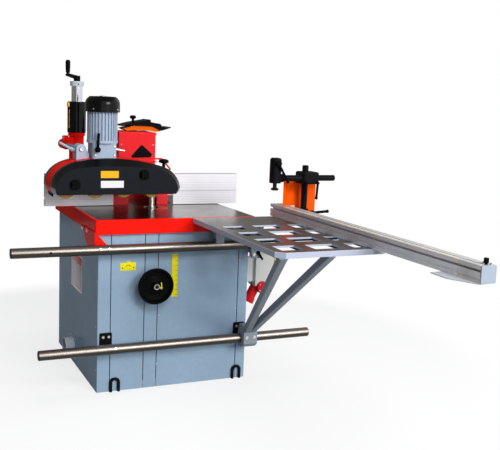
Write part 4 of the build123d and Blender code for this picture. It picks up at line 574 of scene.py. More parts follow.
CAP_PLASTIC = Finish(
    "cap_plastic", shade(152, 164, 178), 0.48, drift=0.05, grain=Grain.MOULDED, bump=0.12,
    specular=0.1,
)
BELT_RUBBER = Finish(
    "belt_rubber", shade(30, 29, 28), 0.75, drift=0.2, grain=Grain.RUBBER, bump=0.3, wear=0.3,
    worn=(0.10, 0.10, 0.10), specular=0.2,
)
ROLLER_RUBBER = BELT_RUBBER.recast(
    "roller_rubber", 150, 114, 58, rough=0.72, drift_scale=14.0, bump=0.35,
    worn=(0.42, 0.30, 0.14), edge=0.003,
)
FOOT_RUBBER = BELT_RUBBER.recast(
    "foot_rubber", 22, 21, 21, rough=0.8, wear=0.2, worn=(0.06, 0.06, 0.06),
)
PLUNGER_BLACK = FOOT_RUBBER.recast(
    "plunger_black", drift=0.10, bump=0.25, wear=0.25, second=BLACK_STEEL,
    region=(over("Z", 1.046),),
)
FRAME_GREY = Finish(
    "frame_grey", shade(140, 149, 160), 0.46, 0.16, drift=0.12, wear=0.30,
    worn=(0.35, 0.36, 0.38), edge=0.002, specular=0.10,
)
MOTOR_GREY = Finish(
    "motor_grey", shade(164, 178, 197), 0.44, drift=0.12, grain=Grain.CAST, bump=0.18, wear=0.2,
    specular=0.12,
)
BARE_ALUMINIUM = Finish(
    "bare_aluminium", shade(228, 228, 231), 0.48, metal=0.6, drift=0.14, drift_scale=6.0,
    grain=Grain.ALONG_Y, bump=0.10, wear=0.2, worn=(0.80, 0.80, 0.79), edge=0.0008,
)
EXTENSION_SIDE = BARE_ALUMINIUM.recast(
    "extension_side", 216, 215, 214, drift=0.30, drift_scale=16.0,
)
EXTENSION_ALUMINIUM = Finish(
    "extension_aluminium", shade(206, 207, 214), 0.48, 0.10, metal=0.1, bump=0.06, wear=0.1,
    worn=(0.80, 0.80, 0.79), edge=0.0008, specular=0.2, second=EXTENSION_SIDE,
    region=(over("Z", 0.8702),),
)
FENCE_ALUMINIUM = Finish(
    "fence_aluminium", shade(226, 226, 231), 0.42, 0.10, metal=0.25, drift=0.05,
    grain=Grain.ALONG_X, bump=0.06, wear=0.1, worn=(0.8, 0.8, 0.8), edge=0.0006, specular=0.2,
    marks=rules("Z", 0.0096, shade(196, 196, 202)),
)
ORANGE_PAINT = Finish(
    "orange_paint", shade(250, 86, 8), 0.38, drift=0.08, coat=0.1, worn=(0.30, 0.20, 0.16),
    specular=0.0,
)
SHOE_ORANGE = ORANGE_PAINT.recast("shoe_orange", 216, 100, 14, rough=0.42)
YELLOW_VINYL = Finish(
    "yellow_vinyl", shade(236, 224, 20), 0.40, drift=0.05, grain=Grain.MOULDED, bump=0.04,
    wear=0.0, edge=0.0003, specular=0.2,
)
AMBER_VINYL = YELLOW_VINYL.recast("amber_vinyl", 242, 176, 14, rough=0.38)
WHITE_VINYL = AMBER_VINYL.recast("white_vinyl", 228, 228, 234, drift=0.04)
BLACK_INK = YELLOW_VINYL.recast("black_ink", 24, 24, 20, rough=0.44, drift=0.10, bump=0.03)
HEIGHT_SCALE = YELLOW_VINYL.recast(
    "height_scale",
    marks=rules("Z", 0.0025, RULE_BLACK, (over("X", 0.0045),), (over("X", -0.0009),)),
)
FENCE_SCALE = YELLOW_VINYL.recast(
    "fence_scale", 222, 214, 180, bump=0.03,
    marks=rules("Y", 0.005, RULE_BLACK, (under("X", 0.5245),), (under("X", 0.5272),)),
)
SLEEVE_SCALE = YELLOW_VINYL.recast(
    "sleeve_scale", 240, 150, 40, bump=0.03,
    marks=rules("Z", 0.005, RULE_BLACK, (under("Y", 0.2305),), (under("Y", 0.2341),)),
)
PLATE_BAND = Mark(shade(186, 30, 36), (over("Z", 0.572),))
PLATE_FRAME = tuple(
    Mark(shade(236, 236, 240), (side,))
    for side in (under("Y", -0.1135), over("Y", 0.1105), under("Z", 0.4345), over("Z", 0.6125))
)
SIDE_PLATE = YELLOW_VINYL.recast(
    "side_plate", 166, 150, 158, rough=0.36, drift=0.30, drift_scale=14.0,
    marks=(PLATE_BAND, *PLATE_FRAME),
)

NODE_FINISH: dict[str, Finish] = {
    node: finish
    for finish, nodes in (
        (CABINET_GREY, "base_frame front_panels rear_door"),
        (CABINET_SIDES, "side_panels"),
        (WORKTABLE_TOP, "worktable"),
        (SKIRT_RED, "table_skirt"),
        (RING_STEEL, "table_ring"),
        (MACHINE_RED, "upper_rail_brackets feeder_base feeder_slide feeder_case"),
        (HOOD_RED_AND_SHEEN, "cutter_hood"),
        (TUBE_STEEL, "guide_rails"),
        (BLACK_STEEL, "lower_rail_brackets foot_loops clamp_post clamp_sleeve clamp_arm"),
        (PALE_PLASTIC, "switch_box"),
        (RED_PLASTIC, "stop_button power_inlet"),
        (BRIGHT_STEEL, "lift_guides lift_screw spindle feeder_arm"),
        (INNER_IRON, "spindle_quill motor_pulley drive_motor"),
        (BELT_RUBBER, "drive_belt"),
        (BLACK_PLASTIC, "handwheel clamp_lever post_lever reach_lever height_lever"),
        (BLACK_PLASTIC, "hood_fittings guard_visor crank cover_knobs speed_lever"),
        (SLIDE_TOP, "sliding_table"),
        (FRAME_GREY, "carriage support_arm"),
        (BARE_ALUMINIUM, "mitre_fence"),
        (EXTENSION_ALUMINIUM, "fence_extension"),
        (CAP_PLASTIC, "fence_end_cap"),
        (ORANGE_PAINT, "clamp_guard"),
        (PLUNGER_BLACK, "clamp_plunger"),
        (FENCE_ALUMINIUM, "left_fence_plate right_fence_plate"),
        (SHOE_ORANGE, "guard_shoe"),
        (COLUMN_CHROME, "feeder_column"),
        (GLOSS_BLACK, "column_sleeve fan_cover"),
        (COVER_BLACK, "feeder_covers"),
        (MOTOR_GREY, "arm_knuckle feeder_motor"),
        (ROLLER_RUBBER, "feed_roller_1 feed_roller_2 feed_roller_3 feed_roller_4"),
    )
    for node in nodes.split()
}


class Paintshop:
    """Keeps one material for each finish."""

    def __init__(self) -> None:
        """Build the shared effects."""
        self.effects = Effects()
        self.made: dict[str, bpy.types.Material] = {}

    def get(self, finish: Finish) -> bpy.types.Material:
        """Find the material of a finish, building it at its first use.

        Args:
            finish: The finish.

        Returns:
            Its material.
        """
        if finish.name not in self.made:
            self.made[finish.name] = finish.material(self.effects)
        return self.made[finish.name]

    def dress_nodes(self) -> None:
        """Give every CAD piece its finish."""
        for name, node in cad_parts.items():
            paint = self.get(NODE_FINISH[name])
            if node.material_slots:
                for held in node.material_slots:
                    held.material = paint
            else:
                node.data.materials.append(paint)
            LOG.info("dressed %s in %s", name, paint.name)


def seat(at: Spot, axis: Spot) -> Matrix:
    """Return the matrix that stands a shape, made on Z, at a place along an axis."""
    turn = Vector(axis).to_track_quat("Z", "Y").to_matrix().to_4x4()
    return Matrix.Translation(at) @ turn


def grid(look: Spot, *places: Union[float, Row]) -> list[Seat]:
    """Return a seat at each mix of places, given as one or several along X, Y and Z."""
    rows = [place if isinstance(place, tuple) else (place,) for place in places]
    return [(at, look) for at in product(*rows)]


def ring(middle: Spot, radius: float, look: Optional[Spot] = None) -> list[Seat]:
    """Return four seats at the diagonals of a level circle, which look one way or outwards."""
    ways = [Vector((x, y, 0.0)).normalized() for x, y in product((-1.0, 1.0), repeat=2)]
    return [(tuple(Vector(middle) + way * radius), look or tuple(way)) for way in ways]


class Shape:
    """One mesh in the making, built in millimetres from bmesh operators."""

    def __init__(self) -> None:
        """Start an empty mesh."""
        self.bm = bmesh.new()

    @staticmethod
    def soften(bm: bmesh.types.BMesh, edges: list, offset: float, segments: int) -> None:
        """Round or chamfer some edges of a mesh."""
        bmesh.ops.bevel(
            bm, geom=edges, offset=offset, offset_type="OFFSET", affect="EDGES",
            segments=segments, profile=0.5, material=-1,
        )

    def box(self, low: Spot, high: Spot, radius: float, segments: int = 2) -> "Shape":
        """Add a box between two corners, with its edges rounded.

        Args:
            low: Lowest corner.
            high: Highest corner.
            radius: Radius of the edges.
            segments: Steps of the rounding.

        Returns:
            This shape.
        """
        size, middle = Vector(high) - Vector(low), (Vector(low) + Vector(high)) / 2.0
        stand = Matrix.Translation(middle) @ Matrix.Diagonal((*size, 1.0))
        made = bmesh.ops.create_cube(self.bm, size=1.0, matrix=stand)["verts"]
        self.soften(self.bm, list({e for v in made for e in v.link_edges}), radius, segments)
        return self

    def plate(
        self, corners: Profile, front_y: float, skin: float, radius: float, segments: int = 2,
    ) -> "Shape":
        """Add a thin plate, by X and Z of two corners, on a face that looks to the front."""
        (left, bottom), (right, top) = corners
        return self.box((left, front_y - skin, bottom), (right, front_y, top), radius, segments)

    def turned(
        self, profile: Profile, at: Spot, axis: Spot, steps: int = 24, sweep: float = WHOLE_TURN,
        start: float = 0.0,
    ) -> "Shape":
        """Add a turned piece.

        Args:
            profile: Radius and height of each point, from one end to the other.
            at: Place of the profile's zero.
            axis: Direction of the profile's height.
            steps: Steps round the axis.
            sweep: Degrees of the turn. A part turn closes its profile and its ends.
            start: Degrees where the turn starts.

        Returns:
            This shape.
        """
        fresh = bmesh.new()
        points = [fresh.verts.new((radius, 0.0, height)) for radius, height in profile]
        edges = [fresh.edges.new(pair) for pair in zip(points, points[1:])]
        whole = sweep >= WHOLE_TURN
        if not whole:
            edges.append(fresh.edges.new((points[-1], points[0])))
        first = Matrix.Rotation(math.radians(start), 3, "Z")
        bmesh.ops.rotate(fresh, verts=points, cent=(0, 0, 0), matrix=first)
        bmesh.ops.spin(
            fresh, geom=points + edges, cent=(0, 0, 0), axis=UP, angle=math.radians(sweep),
            steps=steps, use_merge=whole, use_duplicate=False,
        )
        bmesh.ops.remove_doubles(fresh, verts=fresh.verts, dist=WELD)
        if not whole:
            bmesh.ops.holes_fill(fresh, edges=[e for e in fresh.edges if e.is_boundary])
        bmesh.ops.recalc_face_normals(fresh, faces=fresh.faces)
        return self.take(fresh, seat(at, axis))

    def hexagon(self, radius: float, at: Spot, axis: Spot) -> "Shape":
        """Add a hexagon head with its upper edges chamfered.

        Args:
            radius: Radius over the corners.
            at: Middle of its seat.
            axis: Direction of its height.

        Returns:
            This shape.
        """
        height, chamfer = radius * 0.85, radius * 0.12
        fresh = bmesh.new()
        bmesh.ops.create_cone(
            fresh, cap_ends=True, segments=6, radius1=radius, radius2=radius, depth=height,
            matrix=Matrix.Translation((0, 0, height / 2.0)),
        )
        top = [e for e in fresh.edges if all(v.co.z > height / 2.0 for v in e.verts)]
        self.soften(fresh, top, chamfer, 1)
        return self.take(fresh, seat(at, axis))

    def bar(self, start: Spot, end: Spot, radius: float, tip: float = 1.0) -> "Shape":
        """Add a round bar with soft ends between two points.

        Args:
            start: Middle of one end.
            end: Middle of the other end.
            radius: Radius at the start.
            tip: Radius at the end, as a share of the radius at the start.

        Returns:
            This shape.
        """
        run = Vector(end) - Vector(start)
        long, soft, thin = run.length, radius * 0.35, radius * tip
        near = ((0, 0), (radius - soft, 0), (radius, soft))
        far = ((thin, long - soft), (thin - soft, long), (0, long))
        return self.turned(near + far, start, tuple(run.normalized()), 20)

    def take(self, other: bmesh.types.BMesh, stand: Matrix) -> "Shape":
        """Move another mesh into this one.

        Args:
            other: The mesh, which is freed.
            stand: Where it stands.

        Returns:
            This shape.
        """
        bmesh.ops.transform(other, matrix=stand, verts=other.verts)
        spare = bpy.data.meshes.new("spare")
        other.to_mesh(spare)
        other.free()
        self.bm.from_mesh(spare)
        bpy.data.meshes.remove(spare)
        return self


class Head(Enum):
    """Kinds of fastener heads, by steps round the axis and profile for a radius of 1."""

    HEX = (20, ((0, 0), (1.25, 0), (1.25, 0.18), (0, 0.18)))
    SOCKET = (20, ((0, 0), (1, 0), (1, 0.8), (0.88, 0.95), (0.55, 0.95), (0.5, 0.45), (0, 0.4)))
    DOME = (18, ((0, 0), (1, 0), (1, 0.12), (0.8, 0.38), (0.42, 0.52), (0.36, 0.3), (0, 0.28)))


@dataclass
class SubAssembly:
    """A group of pieces that one part of the machine carries, with sizes in millimetres."""

    shop: Paintshop

    def keep(
        self, name: str, shape: Shape, finish: Finish, body: str, slot: str,
        sharp: float = SHARP_ANGLE,
    ) -> None:
        """Turn a shape into a finished piece that rides on a body.

        Args:
            name: Name of the piece.
            shape: Its mesh in the making.
            finish: Its finish.
            body: CAD body that carries it.
            slot: The record's material slot; not used.
            sharp: Angle in degrees past which an edge stays sharp.
        """
        mesh = bpy.data.meshes.new(name)
        bmesh.ops.scale(shape.bm, vec=(MILLIMETRE,) * 3, verts=shape.bm.verts)
        shape.bm.to_mesh(mesh)
        shape.bm.free()
        mesh.shade_smooth()
        mesh.set_sharp_from_angle(angle=math.radians(sharp))
        mesh.materials.append(self.shop.get(finish))
        piece = bpy.data.objects.new(name, mesh)
        bpy.context.scene.collection.objects.link(piece)
        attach(piece, body)
        LOG.info("made %s on %s", name, body)

    def fasteners(
        self, name: str, head: Head, radius: float, seats: Iterable[Seat], body: str,
        finish: Finish = ZINC_SCREW, slot: str = "bright_steel",
    ) -> None:
        """Make a set of equal fasteners as one piece.

        Args:
            name: Name of the piece.
            head: Kind of head.
            radius: Radius of the heads.
            seats: Place and direction of each head.
            body: CAD body that carries them.
            finish: Their finish.
            slot: The record's material slot.
        """
        shape = Shape()
        steps, outline = head.value
        for at, axis in seats:
            shape.turned([(r * radius, h * radius) for r, h in outline], at, axis, steps)
            if head is Head.HEX:
                shape.hexagon(radius, at, axis)
        self.keep(name, shape, finish, body, slot)

    def build(self) -> None:
        """Make the pieces of this sub-assembly."""
        raise NotImplementedError


@dataclass
class Cabinet(SubAssembly):
    """Screws, plates and scale of the cabinet.

    A plate is as thick as the skin and a mark on it as thick as the ink; the radius of the
    plates' edges is soft. Plates are given by two corners.
    """

    front_y: float = -450.0
    side_x: float = 400.0
    door_y: float = 450.0
    skin: float = 0.9
    ink: float = 0.2
    soft: float = 0.4
    panel_screws_xz: Profile = (
        (-87.0, 373.0), (-180.0, 579.0), (338.0, 379.0), (-89.0, 729.0), (-91.0, 120.0),
        (352.0, 640.0),
    )
    side_screws_y: Row = (-425.0, 425.0)
    side_screws_z: Row = (110.0, 330.0, 560.0, 740.0)
    flange_x: float = -402.5
    spigot_screws_y: Row = (6.0, 114.0)
    spigot_screws_z: Row = (38.0, 146.0)
    plate_xz: Profile = ((-289.0, 613.0), (-210.0, 653.0))
    plate_tab_xz: Profile = ((-258.0, 652.6), (-238.0, 660.0))
    scale_xz: Profile = ((-22.0, 466.0), (11.0, 686.0))
    side_plate_yz: Profile = ((-122.0, 426.0), (119.0, 621.0))
    lock_xy: Pair = (304.0, 466.0)
    locks_z: Row = (445.0, 395.0)
    louvre_ends_x: Pair = (-28.0, 148.0)
    louvres_z: Row = (543.0, 565.0, 587.0, 609.0, 631.0, 653.0, 675.0, 697.0)

    def build(self) -> None:
        """Make the cabinet's small parts."""
        panel = [((x, self.front_y, z), FRONT) for x, z in self.panel_screws_xz]
        self.fasteners("panel_screws", Head.DOME, 4.2, panel, "machine")
        sides = grid(LEFT, -self.side_x, self.side_screws_y, self.side_screws_z)
        sides += grid(RIGHT, self.side_x, self.side_screws_y, self.side_screws_z)
        self.fasteners("side_screws", Head.DOME, 4.0, sides, "machine")
        flange = grid(LEFT, self.flange_x, self.spigot_screws_y, self.spigot_screws_z)
        self.fasteners("spigot_screws", Head.DOME, 4.5, flange, "machine")
        self.plates()
        self.door()

    def plates(self) -> None:
        """Make the bare plates, the marks on one of them and the height scale."""
        stuck = (self.front_y, self.skin, self.soft)
        yellow = Shape().plate(self.plate_xz, *stuck).plate(self.plate_tab_xz, *stuck)
        self.keep("front_plate", yellow, YELLOW_VINYL, "machine", "cabinet_grey")
        marks, face = Shape(), self.front_y - self.skin
        dot = ((0, 0), (3.4, 0), (3.4, self.ink), (0, self.ink))
        for x in (-278.0, -221.0):
            marks.turned(dot, (x, face, 626.0), FRONT, 20)
        arc = ((10.5, 0), (13.0, 0), (13.0, self.ink), (10.5, self.ink))
        marks.turned(arc, (-249.5, face, 629.0), FRONT, 14, 150.0, 15.0)
        self.keep("front_plate_marks", marks, BLACK_INK, "machine", "cabinet_grey")
        ruler = Shape().plate(self.scale_xz, *stuck)
        self.keep("lift_scale", ruler, HEIGHT_SCALE, "machine", "cabinet_grey")
        low, high = self.side_plate_yz
        left = -self.side_x
        plate = Shape().box((left - self.skin, *low), (left, *high), self.soft)
        self.keep("side_plate", plate, SIDE_PLATE, "machine", "cabinet_grey")

    def door(self) -> None:
        """Make the locks and the louvre lips of the rear door."""
        lock = ((0, 0), (15, 0), (15, 2), (12.8, 4.5), (7.5, 4.5), (6.8, 1.5), (0, 1.5))
        locks = Shape()
        for z in self.locks_z:
            locks.turned(lock, (*self.lock_xy, z), BACK)
        self.keep("door_locks", locks, ZINC_SCREW, "rear_door", "bright_steel")
        lips, back = Shape(), self.door_y
        left, right = self.louvre_ends_x
        for z in self.louvres_z:
            lips.box((left, back, z + 3.0), (right, back + 5.0, z + 5.4), 0.9)
        self.keep("louvre_lips", lips, CABINET_GREY, "rear_door", "cabinet_grey")


@dataclass
class Rails(SubAssembly):
    """Plugs, screws and bolts of the two guide rails and their brackets.

    The screws look along tilt and sit sunk in the tubes.
    """

    axis_y: float = -510.15
    upper_z: float = 732.0
    lower_z: float = 237.0
    upper_ends_x: Pair = (-820.0, 613.0)
    lower_ends_x: Pair = (-694.0, 739.0)
    radius: float = 24.15
    wall: float = 4.0
    sunk: float = 1.2
    tilt: Spot = (0.0, -0.94, 0.342)
    upper_screws_x: Row = (-409.0, -367.0, 372.0, 413.0)
    lower_screws_x: Row = (-330.0, 358.0)
    lower_bolts_x: Row = (-372.0, -344.0, 344.0, 372.0)
    lower_bolts_y: float = -455.0
    lower_bolts_z: float = 285.0
    upper_bolts_x: float = 426.0
    upper_bolts_y: Row = (-250.0, -351.0)
    upper_bolts_z: float = 801.0

    def build(self) -> None:
        """Make the rails' small parts."""
        bore, rim = self.radius - self.wall - 0.2, self.radius - 1.2
        profile = (
            (0, -14), (bore, -14), (bore, 0), (rim, 0), (rim, 1.6), (rim - 1.2, 2.6),
            (bore - 2, 2.6), (bore - 3, 1.2), (0, 1.2),
        )
        plugs = Shape()
        for z, ends in ((self.upper_z, self.upper_ends_x), (self.lower_z, self.lower_ends_x)):
            for x, look in zip(ends, (LEFT, RIGHT)):
                plugs.turned(profile, (x, self.axis_y, z), look, 32)
        self.keep("rail_plugs", plugs, BLACK_PLASTIC, "machine", "black_plastic")
        _, out, rise = Vector(self.tilt) * (self.radius - self.sunk)
        y = self.axis_y + out
        screws = grid(self.tilt, self.upper_screws_x, y, self.upper_z + rise)
        screws += grid(self.tilt, self.lower_screws_x, y, self.lower_z + rise)
        self.fasteners("rail_screws", Head.SOCKET, 6.5, screws, "machine")
        bolts = grid(FRONT, self.lower_bolts_x, self.lower_bolts_y, self.lower_bolts_z)
        self.fasteners("lower_bracket_bolts", Head.SOCKET, 6.8, bolts, "machine")
        bolts = grid(LEFT, -self.upper_bolts_x, self.upper_bolts_y, self.upper_bolts_z)
        bolts += grid(RIGHT, self.upper_bolts_x, self.upper_bolts_y, self.upper_bolts_z)
        self.fasteners("upper_bracket_bolts", Head.SOCKET, 8.8, bolts, "machine")


@dataclass
class Handwheel(SubAssembly):
    """Hub ring, cap and mark of the lift wheel.

    The web starts at web_from and gains web_fall of depth for each unit of radius.
    """

    hub: Spot = (-128.5, -542.0, 543.0)
    web: float = -24.0
    web_from: float = 20.0
    web_fall: float = 8.0 / 30.0
    mark: float = 0.6

    def build(self) -> None:
        """Make the wheel's small parts."""
        rim = ((10.2, 0), (14.2, 0), (14.2, 1.2), (13.2, 2.2), (11.2, 2.2), (10.2, 1.2), (10.2, 0))
        made = Shape().turned(rim, self.hub, FRONT, 32)
        self.keep("wheel_hub_ring", made, ZINC_SCREW, "handwheel", "bright_steel")
        cap = ((0, 0), (9.4, 0), (9.4, 2.4), (8.0, 3.6), (0, 4.0))
        made = Shape().turned(cap, self.hub, FRONT, 28)
        self.keep("wheel_hub_cap", made, GLOSS_BLACK, "handwheel", "black_plastic")
        self.keep("wheel_mark", self.arrow(), YELLOW_VINYL, "handwheel", "black_plastic")

    def arrow(self) -> Shape:
        """Make a bent arrow, its shaft and then its head, that lies on the cone of the web.

        Returns:
            The arrow's shape.
        """
        shape, mark = Shape(), self.mark
        for start, sweep, inner, outer in ((-14.0, 40.0, 30.0, 36.0), (-30.0, 16.0, 25.0, 41.0)):
            low, high = (self.web - (r - self.web_from) * self.web_fall for r in (inner, outer))
            band = ((inner, low), (outer, high), (outer, high + mark), (inner, low + mark))
            shape.turned(band, self.hub, FRONT, 10, sweep, start)
        return shape


@dataclass
class SlidingTable(SubAssembly):
    """Wipers, lock and bolts of the carriage and its outrigger."""

    shoes_x: Pair = (205.0, 398.0)
    shoe_half: float = 22.0
    shoe_top_z: float = 766.0
    wiper_thick: float = 4.0
    wiper_half: float = 17.0
    wiper_tall: float = 9.5
    wiper_screw_out: float = 11.0
    wiper_screw_drop: float = 4.6
    rail_y: float = -510.15
    lock_face_y: float = -548.3
    collar_out: float = 52.0
    collar_bolts_x: Row = (358.0, 400.0)
    collar_bolts_z: float = 250.0
    beam_bolts_x: Row = (190.0, 265.0, 340.0, 415.0)
    beam_face_y: float = -556.3
    beam_bolts_z: float = 833.0

    def build(self) -> None:
        """Make the sliding table's small parts."""
        wipers, screws = Shape(), []
        y, top = self.rail_y, self.shoe_top_z
        half, out = self.wiper_half, self.wiper_screw_out
        for x, look in product(self.shoes_x, (LEFT, RIGHT)):
            end = x + look[0] * self.shoe_half
            face = end + look[0] * self.wiper_thick
            low, high = sorted((end, face))
            wipers.box((low, y - half, top - self.wiper_tall), (high, y + half, top), 1.0)
            screws += grid(look, face, (y - out, y + out), top - self.wiper_screw_drop)
        self.keep("shoe_wipers", wipers, FOOT_RUBBER, "sliding_table", "black_plastic")
        self.fasteners("wiper_screws", Head.DOME, 3.0, screws, "sliding_table")
        collar = grid(FRONT, self.collar_bolts_x, y - self.collar_out, self.collar_bolts_z)
        self.fasteners("collar_bolts", Head.HEX, 7.5, collar, "sliding_table")
        beam = grid(FRONT, self.beam_bolts_x, self.beam_face_y, self.beam_bolts_z)
        self.fasteners("beam_bolts", Head.SOCKET, 6.0, beam, "sliding_table")
        self.slide_lock()

    def slide_lock(self) -> None:
        """Make the small lever and the bolt on the lock plate beside the right shoe."""
        face = self.lock_face_y
        boss = ((0, 0), (10, 0), (10, 9), (8.5, 12.5), (0, 13))
        lever = Shape().turned(boss, (408.0, face, 694.0), FRONT)
        lever.bar((409.0, face - 8.0, 693.0), (430.0, face - 15.0, 658.0), 6.6, 0.85)
        self.keep("slide_lock_lever", lever, BLACK_PLASTIC, "sliding_table", "black_plastic")
        bolt = grid(FRONT, 386.5, face, 686.0)
        self.fasteners("slide_lock_bolt", Head.HEX, 7.5, bolt, "sliding_table")


@dataclass
class MitreFence(SubAssembly):
    """Scale, end knob and screws of the mitre fence."""

    left_x: float = 517.0
    top_z: float = 934.3
    near_end_y: float = -450.0
    far_end_y: float = -1985.0
    knob_xy: Pair = (553.0, -2094.0)
    screws_xy: Profile = ((571.0, -2100.0), (562.0, -2070.0))

    def build(self) -> None:
        """Make the fence's small parts."""
        low = (self.left_x + 4.0, self.far_end_y + 6.0, self.top_z)
        high = (self.left_x + 18.0, self.near_end_y - 20.0, self.top_z + 0.5)
        strip = Shape().box(low, high, 0.2, 1)
        self.keep("fence_scale", strip, FENCE_SCALE, "mitre_fence", "bare_aluminium")
        grip = ((0, 0), (6, 0), (6, 4), (9.5, 6), (9.5, 21), (8.2, 23.5), (0, 24))
        knob = Shape().turned(grip, (*self.knob_xy, self.top_z), UP, 12)
        self.keep("extension_knob", knob, BLACK_PLASTIC, "fence_extension", "black_plastic", 25.0)
        screws = [((x, y, self.top_z), UP) for x, y in self.screws_xy]
        self.fasteners("extension_screws", Head.SOCKET, 5.5, screws, "fence_extension")


@dataclass
class Hood(SubAssembly):
    """Rivets, bolts and nuts of the cutter hood and its fence plates."""

    sides_x: Pair = (-155.0, 53.0)
    front_y: float = 85.0
    back_y: float = 285.0
    side_rivets_y: Row = (105.0, 265.0)
    rivets_z: Row = (1140.0, 1210.0)
    feet_x: Row = (-205.0, 140.0)
    feet_y: Row = (150.0, 260.0)
    feet_z: float = 875.0
    carriers_x: Row = (-400.0, -300.0, 230.0, 340.0)
    carriers_y: float = 76.0
    carriers_z: float = 958.0

    def build(self) -> None:
        """Make the hood's small parts."""
        rivets = grid(FRONT, (40.0, -142.0), self.front_y, 1199.0)
        rivets += grid(FRONT, -142.0, self.front_y, 1120.0)
        for x, look in zip(self.sides_x, (LEFT, RIGHT)):
            rivets += grid(look, x, self.side_rivets_y, self.rivets_z)
        rivets += grid(BACK, (-140.0, 38.0), self.back_y, self.rivets_z)
        self.fasteners("tower_rivets", Head.DOME, 4.5, rivets, "hood")
        feet = grid(UP, self.feet_x, self.feet_y, self.feet_z)
        self.fasteners("hood_foot_bolts", Head.HEX, 8.5, feet, "hood")
        carriers = grid(BACK, self.carriers_x, self.carriers_y, self.carriers_z)
        self.fasteners("carrier_nuts", Head.HEX, 8.5, carriers, "hood")


@dataclass
class Clamp(SubAssembly):
    """Cap, pin heads and screws of the hold-down clamp."""

    bar_end: Spot = (745.0, -684.0, 1092.0)
    pin_xz: Pair = (420.0, 1166.0)
    cheeks_y: Pair = (-726.0, -654.0)
    guard_screws_x: Row = (600.0, 636.0)
    guard_back_y: float = -587.0
    guard_screws_z: Row = (892.0, 908.0)

    def build(self) -> None:
        """Make the clamp's small parts."""
        cap = ((0, 0), (15.2, 0), (15.2, 6), (12.8, 8.5), (0, 8.5))
        made = Shape().turned(cap, self.bar_end, RIGHT, 28)
        self.keep("clamp_bar_cap", made, BLACK_PLASTIC, "clamp_arm", "black_plastic")
        dark = (BLACK_STEEL, "black_steel")
        x, z = self.pin_xz
        heads = [((x, y, z), look) for y, look in zip(self.cheeks_y, (FRONT, BACK))]
        self.fasteners("cam_pin_heads", Head.SOCKET, 5.5, heads, "clamp_lever", *dark)
        guard = grid(BACK, self.guard_screws_x, self.guard_back_y, self.guard_screws_z)
        self.fasteners("guard_screws", Head.DOME, 5.0, guard, "mitre_fence", *dark)


